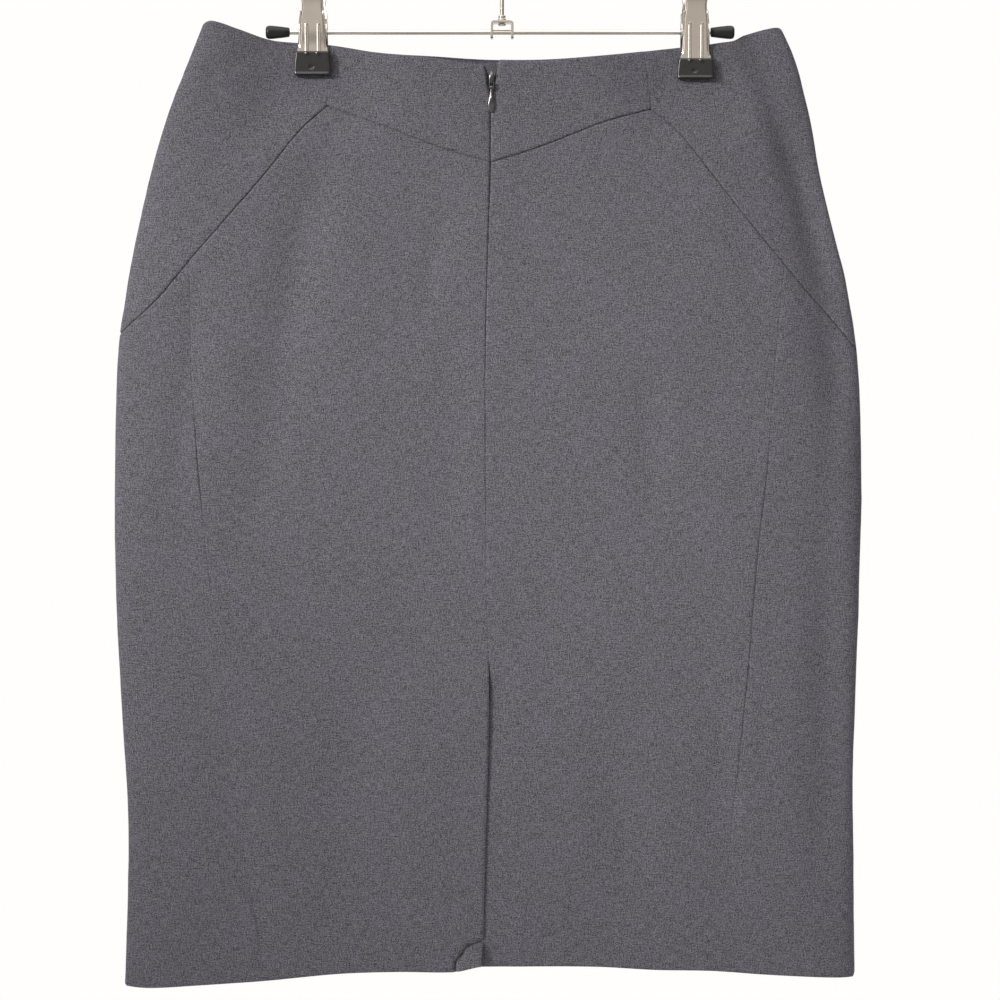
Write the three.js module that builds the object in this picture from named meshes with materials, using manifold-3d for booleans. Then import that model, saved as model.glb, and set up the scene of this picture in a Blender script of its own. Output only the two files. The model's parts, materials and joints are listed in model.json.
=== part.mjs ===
// A pencil skirt that hangs by two clips from a wire hanger, its back and zip towards -Y.
// Millimetres, +Z up, +X to the right of someone who faces that back.
// The origin is the top of the inside of the hook, where a rail carries everything.
// Heights are given as a drop: the distance down from the middle of the hanger's bar.
import * as THREE from 'three';
import { mergeVertices } from 'three/addons/utils/BufferGeometryUtils.js';
import Module from 'manifold-3d';

const wasm = await Module();
wasm.setup();

// A short table: one line of values for each row, under named columns
function table(columns, ...lines) {
  return lines.map((line) => Object.fromEntries(columns.map((name, i) => [name, line[i]])));
}

// Driving sizes
const BAR_BELOW_ORIGIN = 88;
const WALL = 1.2;
const SEAM_GAP = 0.34;
const SIDE_FOLD_RADIUS = 2.6;
const PINCHED_DEPTH = 0.8;
const TOUCH = 0.3;

// Level sections of the cloth tube: its side edges, and half its depth from front to back
const SECTIONS = table(['drop', 'left', 'right', 'depth'],
  [-8.0, -190.1, 176.6, 6.2],
  [17.7, -200.3, 187.5, 6.2],
  [38.1, -208.6, 193.3, 6.3],
  [56.1, -215.0, 197.8, 7.2],
  [94.5, -225.9, 204.8, 10.0],
  [132.9, -234.9, 213.8, 13.0],
  [161.7, -240.0, 220.8, 14.8],
  [209.7, -246.4, 227.8, 16.0],
  [286.5, -248.3, 230.4, 16.0],
  [363.3, -247.0, 228.5, 15.3],
  [440.1, -243.2, 225.9, 14.5],
  [497.7, -239.4, 224.6, 14.0],
  [555.3, -240.0, 225.3, 13.5],
  [615.0, -241.6, 225.9, 13.0]);

// The waist edge, its dip beside the zip, and the hem edges, all from side to side
const WAIST = table(['x', 'drop'],
  [-192.0, -5.8], [-185.6, -7.3], [-167.7, -1.5], [-148.5, 4.9], [-129.3, 7.1], [-110.1, 8.7],
  [-81.3, 13.2], [-42.9, 15.9], [-10.9, 18.1], [24.3, 18.3], [62.7, 15.7], [101.1, 11.3],
  [126.7, 8.4], [139.5, 6.4], [148.2, 4.9], [154.6, 1.4], [168.3, -2.8], [176.6, -4.1],
  [180.5, -2.8]);
const WAIST_YOKE_LEFT = table(['x', 'drop'],
  [-129.3, 7.1], [-110.1, 8.7], [-81.3, 13.4], [-42.9, 17.2], [-33.0, 18.8], [-20.0, 21.0],
  [-12.6, 21.6]);
const WAIST_FRONT = table(['x', 'drop'],
  [-192.0, -5.8], [-185.6, -7.3], [-167.7, -1.9], [-148.5, 4.2], [-129.3, 6.2], [-110.1, 7.5],
  [-81.3, 11.6], [-42.9, 13.9], [-10.9, 15.9], [24.3, 16.2], [62.7, 14.2], [101.1, 10.2],
  [126.7, 7.5], [139.5, 6.1], [148.2, 4.8], [154.6, 1.2], [168.3, -3.0], [176.6, -4.1],
  [180.5, -2.8]);
const HEM_LEFT = table(['x', 'drop'],
  [-241.3, 609.7], [-225.3, 610.5], [-193.3, 608.3], [-150.4, 605.2], [-103.7, 600.8],
  [-65.3, 599.4], [-12.2, 599.4]);
const HEM_RIGHT = table(['x', 'drop'],
  [-45.4, 596.7], [-7.7, 596.2], [59.5, 596.2], [97.9, 598.2], [135.9, 599.0], [165.1, 601.2],
  [213.1, 603.9], [225.9, 603.9]);
const HEM_FRONT = table(['x', 'drop'],
  [-241.3, 608.6], [-193.3, 606.8], [-103.7, 599.4], [-11.5, 595.0], [97.9, 597.0],
  [165.1, 600.0], [225.9, 602.8]);

// Slanted seams under the hip pieces, and the seams under the two yokes
const HIP_SEAM_LEFT = table(['x', 'drop'],
  [-245.1, 193.0], [-220.2, 171.3], [-197.1, 144.4], [-174.1, 118.1], [-151.0, 91.3],
  [-128.0, 62.5], [-111.7, 47.4]);
const HIP_SEAM_RIGHT = table(['x', 'drop'],
  [95.0, 49.7], [111.4, 63.1], [134.4, 91.9], [157.4, 121.3], [188.2, 159.1], [211.2, 184.1],
  [227.5, 203.3]);
const YOKE_SEAM_LEFT = table(['x', 'drop'],
  [-111.7, 47.4], [-79.4, 59.3], [-38.4, 74.6], [-7.4, 84.2]);
const YOKE_SEAM_RIGHT = table(['x', 'drop'],
  [-7.4, 84.2], [24.3, 74.0], [65.3, 58.0], [95.0, 49.7]);

// Seams that run down: beside the yokes, the long seams, and the centre back with the vent
const YOKE_SIDE_LEFT = table(['drop', 'x'], [8.6, -110.7], [27.9, -111.4], [47.4, -111.7]);
const YOKE_SIDE_RIGHT = table(['drop', 'x'],
  [12.6, 90.2], [22.8, 92.2], [33.7, 93.4], [49.7, 95.0]);
const LONG_SEAM_LEFT = table(['drop', 'x'],
  [146.6, -199.0], [203.3, -197.8], [267.3, -194.6], [331.3, -188.2], [395.3, -180.5],
  [459.3, -172.8], [523.3, -163.8], [606.3, -150.4]);
const LONG_SEAM_RIGHT = table(['drop', 'x'],
  [148.9, 179.8], [209.7, 174.1], [273.7, 169.0], [337.7, 161.9], [401.7, 156.8],
  [465.7, 150.4], [529.7, 144.0], [600.2, 135.9]);
const CENTRE_BACK = table(['drop', 'x'],
  [36.9, -7.4], [84.2, -7.4], [132.9, -9.0], [196.9, -10.2], [248.1, -10.9], [324.9, -10.2],
  [388.9, -9.0], [420.9, -8.3], [468.9, -9.0], [510.5, -10.2], [555.3, -11.5], [600.7, -12.2]);

// The lips of the small opening above the zip's slider
const LIP_LEFT = table(['drop', 'x'],
  [21.6, -12.6], [23.8, -11.2], [28.5, -9.7], [34.0, -9.1], [41.0, -7.5], [60.0, -7.4],
  [84.2, -7.4]);
const LIP_RIGHT = table(['drop', 'x'],
  [18.4, -1.6], [25.3, -2.9], [33.0, -4.4], [41.0, -7.2], [60.0, -7.4], [84.2, -7.4]);

// Soft troughs in the cloth, each from its head to its foot: width to each side, depth, sideways bow
const BACK_FOLDS = table(['headX', 'headDrop', 'footX', 'footDrop', 'bow', 'width', 'depth'],
  [156, 6, 222, 196, 2, 11, 4.4],
  [217, 150, 214, 330, -3, 11, 2.4],
  [-102, 44, -150, 235, -4, 13, 2.6],
  [-138, 200, -170, 345, 3, 13, 1.7],
  [-194, 120, -207, 330, 0, 10, 2.0],
  [209, 290, 214, 590, 2, 12, 2.0],
  [-184, 430, -150, 600, -3, 11, 1.3]);
const FRONT_FOLDS = table(['headX', 'headDrop', 'footX', 'footDrop', 'bow', 'width', 'depth'],
  [-146, 40, -203, 205, 4, 12, 3.0],
  [128, 44, 158, 215, 5, 13, 2.5],
  [-52, 300, -74, 596, -6, 17, 1.8],
  [84, 390, 101, 600, 5, 15, 1.5],
  [-198, 260, -190, 480, 4, 13, 1.6]);

// The vent: how far its flap stands out and its underlap sinks in, and where they start
const VENT = {
  rampTop: 398, rampFoot: 424, lift: 1.5,
  slantTop: 425, slantFoot: 450, underlapX: -45.4,
  flapIn: -90, flapOut: -50, sinkIn: -2, sinkOut: 12,
};
// The flap's lower corner is turned towards the viewer about a slanted, bowed crease
const TURNED_CORNER = {
  creaseX: -11.5, creaseDrop: 579.6, acrossX: 0.756, acrossDrop: 0.656,
  length: 28, bow: 5, radius: 4, angle: THREE.MathUtils.degToRad(46),
};

// The zip: its tape inside the cloth, its slider, and the pull tab that hangs on a pin
const ZIP = {
  tapeTop: 21.5, tapeFoot: 213, tapeHalf: 11, tapeWall: 1,
  tapeClear: TOUCH, sliderRoom: 1.2, roomTop: 37, roomFoot: 52,
  x: -6.8, sliderTop: 25.6, sliderFoot: 34.6, sliderHalfTop: 1.9, sliderHalfFoot: 1.3,
  sliderBehind: 1.2, sliderProud: 1.5,
  sliderChamfer: 0.8, pivotDrop: 36.2, pinRadius: 0.45, pinHalf: 1.5, holeRadius: 0.56,
  knuckle: 1.15, knuckleHalf: 0.75, earFrom: 0.95, earTo: 1.6, earRadius: 1.15, earRoot: 1.6,
  pullLength: 16, pullHalf: 2.4, pullThick: 0.9, pullAir: 0.1,
  neckHalf: 0.75, neckLength: 2.4, waistHalf: 1.3, waistLength: 5, hipRise: 4.5,
};

// The hanger's bar, caps, bracket and hook
const BAR = { radius: 1.5, left: -149, right: 146.5, bore: 1.8 };
const CAP = { length: 15.3, narrow: 3.0, wide: 4.3, shoulder: 10.5, rim: 0.9, end: 2 };
const BRACKET = { half: 7.35, sheet: 1.6, up: 7.3, down: 4.2, depth: 10, hookHole: 1.55 };
const HOOK = {
  wire: 1.25, inner: 19.75, bend: 60, tip: 202, tipRadius: 1.45,
  headRadius: 2.4, headThick: 1.2, collarRadius: 2.6, collarThick: 1.1,
  sleeveRadius: 1.55, nutRadius: 2.3, nutFrom: 9.3, nutTo: 10.6,
};

// The two clips: middle, and the top and foot of their black pads
const CLIPS = table(['side', 'x', 'top', 'foot'],
  ['left', -121.1, 12.5, 28.2],
  ['right', 123.7, 17.0, 30.5]);
const PAD = {
  half: 11.8, near: PINCHED_DEPTH + WALL / 2 + TOUCH, thick: 4.2, round: 1.6, bevel: 0.5,
  taper: 1.3, floor: 1.6,
};
const PINCH = { half: PAD.half + 5.5, fade: 45, fadeBelow: 50 };
// A clip's leg: how far its plate stands from the cloth's middle plane, and its half width
const LEG = table(['drop', 'away', 'half'],
  [-31.5, 14.2, 5.2], [-29.5, 13.6, 8.0], [-26.0, 12.2, 9.0], [-20.7, 10.2, 7.5],
  [-15.6, 9.0, 6.9], [-8.0, 7.7, 7.8], [0.0, 6.4, 8.1]);
const LEG_JAW = {
  away: 3.6, bend: 4.5, bendAway: 4.2, bendHalf: 8.6, half: 9.8, tipHalf: 9.5, sheet: 0.9,
};
const RIB = { x: 3.85, half: 1.1, raise: 0.5, top: -4.7 };
const FLANGE = { sheet: 0.8, front: 7.9, rear: 9.0, top: -13, foot: 3.5, radius: 3.6, heel: 45 };
// The rear leg is wider at its waist than the front one, and less so at its finger tab
const REAR = { wider: 1.2, widerAtTab: 0.36, tabFoot: -17, easeAbovePad: 6 };
const SPRING = {
  inner: 1.8, outer: 3.3, groove: 2.7, turns: 4, half: 5.5, crestFrom: 0.3, crestTo: 0.7,
  arm: 0.6, armRoot: 2.5, armX: 4.3, armDrop: -12,
};

const PAINT = {
  cloth: { color: 0x66646a, roughness: 0.9, metalness: 0 },
  tape: { color: 0x3d3c42, roughness: 0.85, metalness: 0 },
  zipMetal: { color: 0x9b9a9c, roughness: 0.25, metalness: 1 },
  steel: { color: 0xc9c0b4, roughness: 0.3, metalness: 1 },
  pad: { color: 0x18181a, roughness: 0.45, metalness: 0 },
};

const { lerp, clamp, smoothstep } = THREE.MathUtils;
const HALF_TURN = Math.PI / 2;
const part = new THREE.Group();

function addMesh(name, geometry, paint) {
  const mesh = new THREE.Mesh(geometry, new THREE.MeshStandardMaterial(PAINT[paint]));
  mesh.name = name;
  part.add(mesh);
}

// Smooth value of one column of a table, between its rows
function read(rows, along, column, at) {
  const last = rows.length - 1;
  let i = 0;
  while (i < last - 1 && rows[i + 1][along] < at) {
    i += 1;
  }
  const [before, here, next, after] = [Math.max(i - 1, 0), i, i + 1, Math.min(i + 2, last)]
    .map((k) => rows[k]);
  const span = next[along] - here[along];
  const share = clamp((at - here[along]) / span, 0, 1);
  const slopeIn = span * (next[column] - before[column]) / (next[along] - before[along]);
  const slopeOut = span * (after[column] - here[column]) / (after[along] - here[along]);
  const rest = 1 - share;
  return here[column] * (1 + 2 * share) * rest * rest + slopeIn * share * rest * rest
    + next[column] * (1 + 2 * rest) * share * share - slopeOut * rest * share * share;
}

// The level ring of the cloth's middle surface at a drop
function ringAt(drop) {
  const left = read(SECTIONS, 'drop', 'left', drop) + WALL / 2;
  const right = read(SECTIONS, 'drop', 'right', drop) - WALL / 2;
  const depth = read(SECTIONS, 'drop', 'depth', drop);
  const reach = (right - left) / 2;
  const power = 2 * SIDE_FOLD_RADIUS * reach / depth ** 2;
  return { middle: (left + right) / 2, reach, depth, power };
}

// Turn round that ring: 0 at the centre back, a quarter turn at the side folds, more on the front
function turnAt(x, drop) {
  const ring = ringAt(drop);
  return Math.asin(clamp((x - ring.middle) / ring.reach, -1, 1));
}

function foldDepth(folds, x, drop) {
  let sum = 0;
  for (const fold of folds) {
    const share = (drop - fold.headDrop) / (fold.footDrop - fold.headDrop);
    if (share > 0 && share < 1) {
      const line = lerp(fold.headX, fold.footX, share) + fold.bow * 4 * share * (1 - share);
      sum += fold.depth * Math.sin(Math.PI * share) * Math.exp(-(((x - line) / fold.width) ** 2));
    }
  }
  return sum;
}

// 1 between the jaws of a clip, fading to 0 around them
function pinchAt(x, drop) {
  return Math.max(...CLIPS.map((clip) => {
    const aside = Math.max(0, Math.abs(x - clip.x) - PINCH.half) / PINCH.fade;
    const below = Math.max(0, drop - clip.foot) / PINCH.fadeBelow;
    return 1 - smoothstep(Math.hypot(aside, below), 0, 1);
  }));
}

// A point of the cloth's middle surface, moved out by a lift
function clothPoint(turn, drop, lift = 0) {
  const ring = ringAt(drop);
  const sine = Math.sin(turn);
  const x = ring.middle + ring.reach * sine;
  const lens = Math.sqrt(Math.max(0, 1 - Math.abs(sine) ** ring.power));
  const back = Math.cos(turn) > 0;
  const hold = pinchAt(x, drop);
  const fold = foldDepth(back ? BACK_FOLDS : FRONT_FOLDS, x, drop) * (1 - hold);
  const depth = (lerp(ring.depth, PINCHED_DEPTH, hold) - fold + lift) * lens;
  return new THREE.Vector3(x, back ? -depth : depth, -BAR_BELOW_ORIGIN - drop);
}

// Places on the cloth are { turn, drop }: a line across from corner to corner, or one down
function across(rows, fromTurn, toTurn) {
  return (share) => {
    const turn = lerp(fromTurn, toTurn, share);
    let { drop } = rows[0];
    for (let step = 0; step < 12; step += 1) {
      const ring = ringAt(drop);
      drop = read(rows, 'x', 'drop', ring.middle + ring.reach * Math.sin(turn));
    }
    return { turn, drop };
  };
}

function down(xAt, fromDrop, toDrop) {
  return (share) => {
    const drop = lerp(fromDrop, toDrop, share);
    return { turn: turnAt(xAt(drop), drop), drop };
  };
}

function sideEdge(turn, fromDrop, toDrop) {
  return (share) => ({ turn, drop: lerp(fromDrop, toDrop, share) });
}

function joined(first, second, at) {
  return (share) => (share < at ? first(share / at) : second((share - at) / (1 - at)));
}

// Steps from 0 to 1: each range of them is given as [its end, its count]
function steps(...ranges) {
  const list = [0];
  for (const [end, count] of ranges) {
    const start = list[list.length - 1];
    for (let i = 1; i <= count; i += 1) {
      list.push(lerp(start, end, i / count));
    }
  }
  return list;
}

// The place at (u, v) between four edge lines that share their corners
function between(edges, u, v) {
  const mix = {};
  for (const key of ['turn', 'drop']) {
    const [top, foot, left, right] = [edges.top(u), edges.foot(u), edges.left(v), edges.right(v)];
    const topCorners = lerp(edges.top(0)[key], edges.top(1)[key], u);
    const footCorners = lerp(edges.foot(0)[key], edges.foot(1)[key], u);
    mix[key] = lerp(top[key], foot[key], v) + lerp(left[key], right[key], u)
      - lerp(topCorners, footCorners, v);
  }
  return mix;
}

// A closed wall between an outer and an inner grid of points, its faces turned out
function wallGeometry(columns, rows, pointsAt) {
  const layer = columns * rows;
  const positions = new Float32Array(layer * 2 * 3);
  for (let j = 0; j < rows; j += 1) {
    for (let i = 0; i < columns; i += 1) {
      const [outer, inner] = pointsAt(i, j);
      outer.toArray(positions, (j * columns + i) * 3);
      inner.toArray(positions, (layer + j * columns + i) * 3);
    }
  }
  const index = [];
  const quad = (a, b, c, d) => index.push(a, b, c, a, c, d);
  for (let j = 0; j < rows - 1; j += 1) {
    for (let i = 0; i < columns - 1; i += 1) {
      const corner = j * columns + i;
      const inner = layer + corner;
      quad(corner, corner + columns, corner + columns + 1, corner + 1);
      quad(inner, inner + 1, inner + columns + 1, inner + columns);
    }
  }
  const across = [...Array(columns - 1).keys()];
  const along = [...Array(rows - 1).keys()];
  const rim = [
    ...across,
    ...along.map((j) => (j + 1) * columns - 1),
    ...across.map((i) => rows * columns - 1 - i),
    ...along.map((j) => (rows - 1 - j) * columns),
  ];
  rim.forEach((here, k) => {
    const next = rim[(k + 1) % rim.length];
    quad(here, next, layer + next, layer + here);
  });
  const geometry = new THREE.BufferGeometry();
  geometry.setAttribute('position', new THREE.BufferAttribute(positions, 3));
  geometry.setIndex(index);
  return turnedOut(geometry);
}

// The same geometry with its faces pointing out, judged by the volume they enclose
function turnedOut(geometry) {
  const corners = geometry.getAttribute('position');
  const index = geometry.getIndex().array;
  const [a, b, c] = [new THREE.Vector3(), new THREE.Vector3(), new THREE.Vector3()];
  let volume = 0;
  for (let i = 0; i < index.length; i += 3) {
    [a, b, c].forEach((corner, k) => corner.fromBufferAttribute(corners, index[i + k]));
    volume += a.dot(b.cross(c));
  }
  if (volume < 0) {
    for (let i = 0; i < index.length; i += 3) {
      [index[i], index[i + 1]] = [index[i + 1], index[i]];
    }
  }
  return geometry;
}

// A panel of cloth between four edge lines, drawn in by half a seam gap all round
function addPanel(name, edges, us, vs, shape = clothPoint, paint = 'cloth', wall = WALL) {
  const place = (u, v) => {
    const { turn, drop } = between(edges, u, v);
    return shape(turn, drop);
  };
  const nudge = 1e-3;
  const inset = (u, v, alongU) => {
    const here = place(u, v);
    const [uIn, vIn] = [u > 0.5 ? -nudge : nudge, v > 0.5 ? -nudge : nudge];
    const acrossU = place(u + uIn, v).sub(here);
    const acrossV = place(u, v + vIn).sub(here);
    const area = acrossU.clone().cross(acrossV).length();
    const other = (alongU ? acrossV : acrossU).length();
    return Math.sign(alongU ? uIn : vIn) * nudge * (SEAM_GAP / 2) * other / area;
  };
  const pointsAt = (i, j) => {
    let [u, v] = [us[i], vs[j]];
    const [uEdge, vEdge] = [i === 0 || i === us.length - 1, j === 0 || j === vs.length - 1];
    const [du, dv] = [uEdge ? inset(u, v, true) : 0, vEdge ? inset(u, v, false) : 0];
    u += du;
    v += dv;
    const { turn, drop } = between(edges, u, v);
    const here = shape(turn, drop);
    const aside = shape(turn + nudge, drop).sub(shape(turn - nudge, drop));
    const below = shape(turn, drop + nudge).sub(shape(turn, drop - nudge));
    const out = below.cross(aside).normalize().multiplyScalar(wall / 2);
    return [here.clone().sub(out), here.add(out)];
  };
  addMesh(name, wallGeometry(us.length, vs.length, pointsAt), paint);
}

const xOf = (rows) => (drop) => read(rows, 'drop', 'x', drop);
const dropOf = (rows, x) => read(rows, 'x', 'drop', x);

// The vent's ramps, and the shapes of the two panels that meet there
const ventStart = (drop) => smoothstep(drop, VENT.rampTop, VENT.rampFoot);

function flapShape(turn, drop) {
  const flat = clothPoint(turn, drop);
  const lift = VENT.lift * ventStart(drop) * smoothstep(flat.x, VENT.flapIn, VENT.flapOut);
  const point = clothPoint(turn, drop, lift);
  const corner = TURNED_CORNER;
  const [aside, below] = [point.x - corner.creaseX, drop - corner.creaseDrop];
  const share = (below * corner.acrossX - aside * corner.acrossDrop) / corner.length;
  const past = aside * corner.acrossX + below * corner.acrossDrop
    + corner.bow * 4 * share * (1 - share);
  if (past > 0) {
    const bend = Math.min(past / corner.radius, corner.angle);
    const straight = past - bend * corner.radius;
    const along = corner.radius * Math.sin(bend) + straight * Math.cos(bend);
    point.x += (along - past) * corner.acrossX;
    point.z -= (along - past) * corner.acrossDrop;
    point.y -= corner.radius * (1 - Math.cos(bend)) + straight * Math.sin(bend);
  }
  return point;
}

function underlapShape(turn, drop) {
  const { x } = clothPoint(turn, drop);
  const sink = VENT.lift * ventStart(drop) * (1 - smoothstep(x, VENT.sinkIn, VENT.sinkOut));
  return clothPoint(turn, drop, -sink);
}

function underlapEdge(drop) {
  const slant = clamp((drop - VENT.slantTop) / (VENT.slantFoot - VENT.slantTop), 0, 1);
  return lerp(read(CENTRE_BACK, 'drop', 'x', Math.min(drop, VENT.slantTop)), VENT.underlapX, slant);
}

// Corners where seams meet each other or the hem
const turnOf = ({ x, drop }) => turnAt(x, drop);
const waistLeft = YOKE_SIDE_LEFT[0];
const waistRight = YOKE_SIDE_RIGHT[0];
const lipTopLeft = LIP_LEFT[0];
const lipTopRight = LIP_RIGHT[0];
const peakLeft = { x: -111.7, drop: 47.4 };
const peakRight = { x: 95.0, drop: 49.7 };
const centreFoot = { x: -7.4, drop: 84.2 };
const longTopLeft = { x: -199.0, drop: dropOf(HIP_SEAM_LEFT, -199.0) };
const longTopRight = { x: 179.8, drop: dropOf(HIP_SEAM_RIGHT, 179.8) };
const hemLeft = { x: -150.4, drop: dropOf(HEM_LEFT, -150.4) };
const hemRight = { x: 135.9, drop: dropOf(HEM_RIGHT, 135.9) };
const hemFlap = { x: -12.2, drop: dropOf(HEM_LEFT, -12.2) };
const hemUnderlap = { x: VENT.underlapX, drop: dropOf(HEM_RIGHT, VENT.underlapX) };

// Steps that the panels on both sides of a seam share
const YOKE_STEPS_LEFT = steps([0.08, 1], [0.3, 3], [0.72, 3], [1, 5]);
const YOKE_STEPS_RIGHT = steps([0.2, 3], [1, 6]);
const HIP_COLUMNS = 7;
const SIDE_COLUMNS = 7;
const LONG_STEPS_LEFT = steps([0.6, 9], [0.7, 3], [0.95, 4], [1, 6]);
const LONG_STEPS_RIGHT = steps([0.6, 9], [0.664, 3], [0.713, 2], [1, 6]);

function addYokes() {
  addPanel('back_yoke_left', {
    top: across(WAIST_YOKE_LEFT, turnOf(waistLeft), turnOf(lipTopLeft)),
    foot: across(YOKE_SEAM_LEFT, turnOf(peakLeft), turnOf(centreFoot)),
    left: down(xOf(YOKE_SIDE_LEFT), waistLeft.drop, peakLeft.drop),
    right: down(xOf(LIP_LEFT), lipTopLeft.drop, centreFoot.drop),
  }, YOKE_STEPS_LEFT, steps([0.3, 4], [1, 4]));
  addPanel('back_yoke_right', {
    top: across(WAIST, turnOf(lipTopRight), turnOf(waistRight)),
    foot: across(YOKE_SEAM_RIGHT, turnOf(centreFoot), turnOf(peakRight)),
    left: down(xOf(LIP_RIGHT), lipTopRight.drop, centreFoot.drop),
    right: down(xOf(YOKE_SIDE_RIGHT), waistRight.drop, peakRight.drop),
  }, YOKE_STEPS_RIGHT, steps([0.36, 4], [1, 4]));
}

function addHips() {
  const shareLeft = (turnOf(longTopLeft) + HALF_TURN) / (turnOf(peakLeft) + HALF_TURN);
  const shareRight = (turnOf(longTopRight) - turnOf(peakRight)) / (HALF_TURN - turnOf(peakRight));
  addPanel('back_hip_left', {
    top: across(WAIST, -HALF_TURN, turnOf(waistLeft)),
    foot: across(HIP_SEAM_LEFT, -HALF_TURN, turnOf(peakLeft)),
    left: sideEdge(-HALF_TURN, WAIST[0].drop, HIP_SEAM_LEFT[0].drop),
    right: down(xOf(YOKE_SIDE_LEFT), waistLeft.drop, peakLeft.drop),
  }, steps([shareLeft, SIDE_COLUMNS], [1, HIP_COLUMNS]), steps([0.55, 5], [1, 4]));
  addPanel('back_hip_right', {
    top: across(WAIST, turnOf(waistRight), HALF_TURN),
    foot: across(HIP_SEAM_RIGHT, turnOf(peakRight), HALF_TURN),
    left: down(xOf(YOKE_SIDE_RIGHT), waistRight.drop, peakRight.drop),
    right: sideEdge(HALF_TURN, WAIST[WAIST.length - 1].drop, HIP_SEAM_RIGHT[6].drop),
  }, steps([shareRight, HIP_COLUMNS], [1, SIDE_COLUMNS]), steps([0.55, 5], [1, 4]));
}

// A centre panel's top edge bends at its peak, halfway along its steps
function addCentres() {
  const hipHalf = steps([0.5, HIP_COLUMNS]);
  const leftSteps = [...hipHalf, ...YOKE_STEPS_LEFT.slice(1).map((share) => 0.5 + share / 2)];
  const yokeHalf = YOKE_STEPS_RIGHT.map((share) => share / 2);
  const rightSteps = [...yokeHalf, ...hipHalf.slice(1).map((share) => 0.5 + share)];
  addPanel('back_centre_left', {
    top: joined(across(HIP_SEAM_LEFT, turnOf(longTopLeft), turnOf(peakLeft)),
      across(YOKE_SEAM_LEFT, turnOf(peakLeft), turnOf(centreFoot)), 0.5),
    foot: across(HEM_LEFT, turnOf(hemLeft), turnOf(hemFlap)),
    left: down(xOf(LONG_SEAM_LEFT), longTopLeft.drop, hemLeft.drop),
    right: down(xOf(CENTRE_BACK), centreFoot.drop, hemFlap.drop),
  }, leftSteps, LONG_STEPS_LEFT, flapShape);
  addPanel('back_centre_right', {
    top: joined(across(YOKE_SEAM_RIGHT, turnOf(centreFoot), turnOf(peakRight)),
      across(HIP_SEAM_RIGHT, turnOf(peakRight), turnOf(longTopRight)), 0.5),
    foot: across(HEM_RIGHT, turnOf(hemUnderlap), turnOf(hemRight)),
    left: down(underlapEdge, centreFoot.drop, hemUnderlap.drop),
    right: down(xOf(LONG_SEAM_RIGHT), longTopRight.drop, hemRight.drop),
  }, rightSteps, LONG_STEPS_RIGHT, underlapShape);
}

function addSides() {
  addPanel('back_side_left', {
    top: across(HIP_SEAM_LEFT, -HALF_TURN, turnOf(longTopLeft)),
    foot: across(HEM_LEFT, -HALF_TURN, turnOf(hemLeft)),
    left: sideEdge(-HALF_TURN, HIP_SEAM_LEFT[0].drop, HEM_LEFT[0].drop),
    right: down(xOf(LONG_SEAM_LEFT), longTopLeft.drop, hemLeft.drop),
  }, steps([1, SIDE_COLUMNS]), LONG_STEPS_LEFT);
  addPanel('back_side_right', {
    top: across(HIP_SEAM_RIGHT, turnOf(longTopRight), HALF_TURN),
    foot: across(HEM_RIGHT, turnOf(hemRight), HALF_TURN),
    left: down(xOf(LONG_SEAM_RIGHT), longTopRight.drop, hemRight.drop),
    right: sideEdge(HALF_TURN, HIP_SEAM_RIGHT[6].drop, HEM_RIGHT[7].drop),
  }, steps([1, SIDE_COLUMNS]), LONG_STEPS_RIGHT);
}

// The front's steps straddle the clips' pads
function addFront() {
  const share = (fromCentre) => 0.5 + fromCentre / Math.PI;
  addPanel('front', {
    top: across(WAIST_FRONT, HALF_TURN, 3 * HALF_TURN),
    foot: across(HEM_FRONT, HALF_TURN, 3 * HALF_TURN),
    left: sideEdge(HALF_TURN, WAIST[WAIST.length - 1].drop, HEM_FRONT[6].drop),
    right: sideEdge(3 * HALF_TURN, WAIST[0].drop, HEM_FRONT[0].drop),
  }, steps([share(-0.838), 6], [share(-0.645), 2], [share(0.545), 8], [share(0.732), 2], [1, 6]),
  steps([0.05, 3], [0.2, 4], [1, 10]));
}

// The zip's tape lies inside the two halves of the back, a little deeper behind the slider
function addTape() {
  const edge = (aside) => (drop) => read(CENTRE_BACK, 'drop', 'x', drop) + aside;
  const corner = (aside, drop) => turnAt(edge(aside)(drop), drop);
  const level = (drop) => {
    const [from, to] = [corner(-ZIP.tapeHalf, drop), corner(ZIP.tapeHalf, drop)];
    return (share) => ({ turn: lerp(from, to, share), drop });
  };
  const shape = (turn, drop) => {
    const room = ZIP.sliderRoom * (1 - smoothstep(drop, ZIP.roomTop, ZIP.roomFoot));
    return clothPoint(turn, drop, -(WALL / 2 + ZIP.tapeClear + ZIP.tapeWall / 2 + room));
  };
  addPanel('zip_tape', {
    top: level(ZIP.tapeTop),
    foot: level(ZIP.tapeFoot),
    left: down(edge(-ZIP.tapeHalf), ZIP.tapeTop, ZIP.tapeFoot),
    right: down(edge(ZIP.tapeHalf), ZIP.tapeTop, ZIP.tapeFoot),
  }, steps([1, 4]), steps([0.2, 5], [1, 9]), shape, 'tape', ZIP.tapeWall);
}

function toSolid(geometry) {
  const bare = geometry.clone();
  bare.deleteAttribute('normal');
  bare.deleteAttribute('uv');
  const merged = mergeVertices(bare, 1e-4);
  const vertProperties = new Float32Array(merged.getAttribute('position').array);
  const triVerts = new Uint32Array(merged.getIndex().array);
  return new wasm.Manifold(new wasm.Mesh({ numProp: 3, vertProperties, triVerts }));
}

function toGeometry(solid) {
  const mesh = solid.getMesh();
  const geometry = new THREE.BufferGeometry();
  geometry.setAttribute('position', new THREE.BufferAttribute(mesh.vertProperties, 3));
  geometry.setIndex(new THREE.BufferAttribute(mesh.triVerts, 1));
  return geometry;
}

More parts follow.
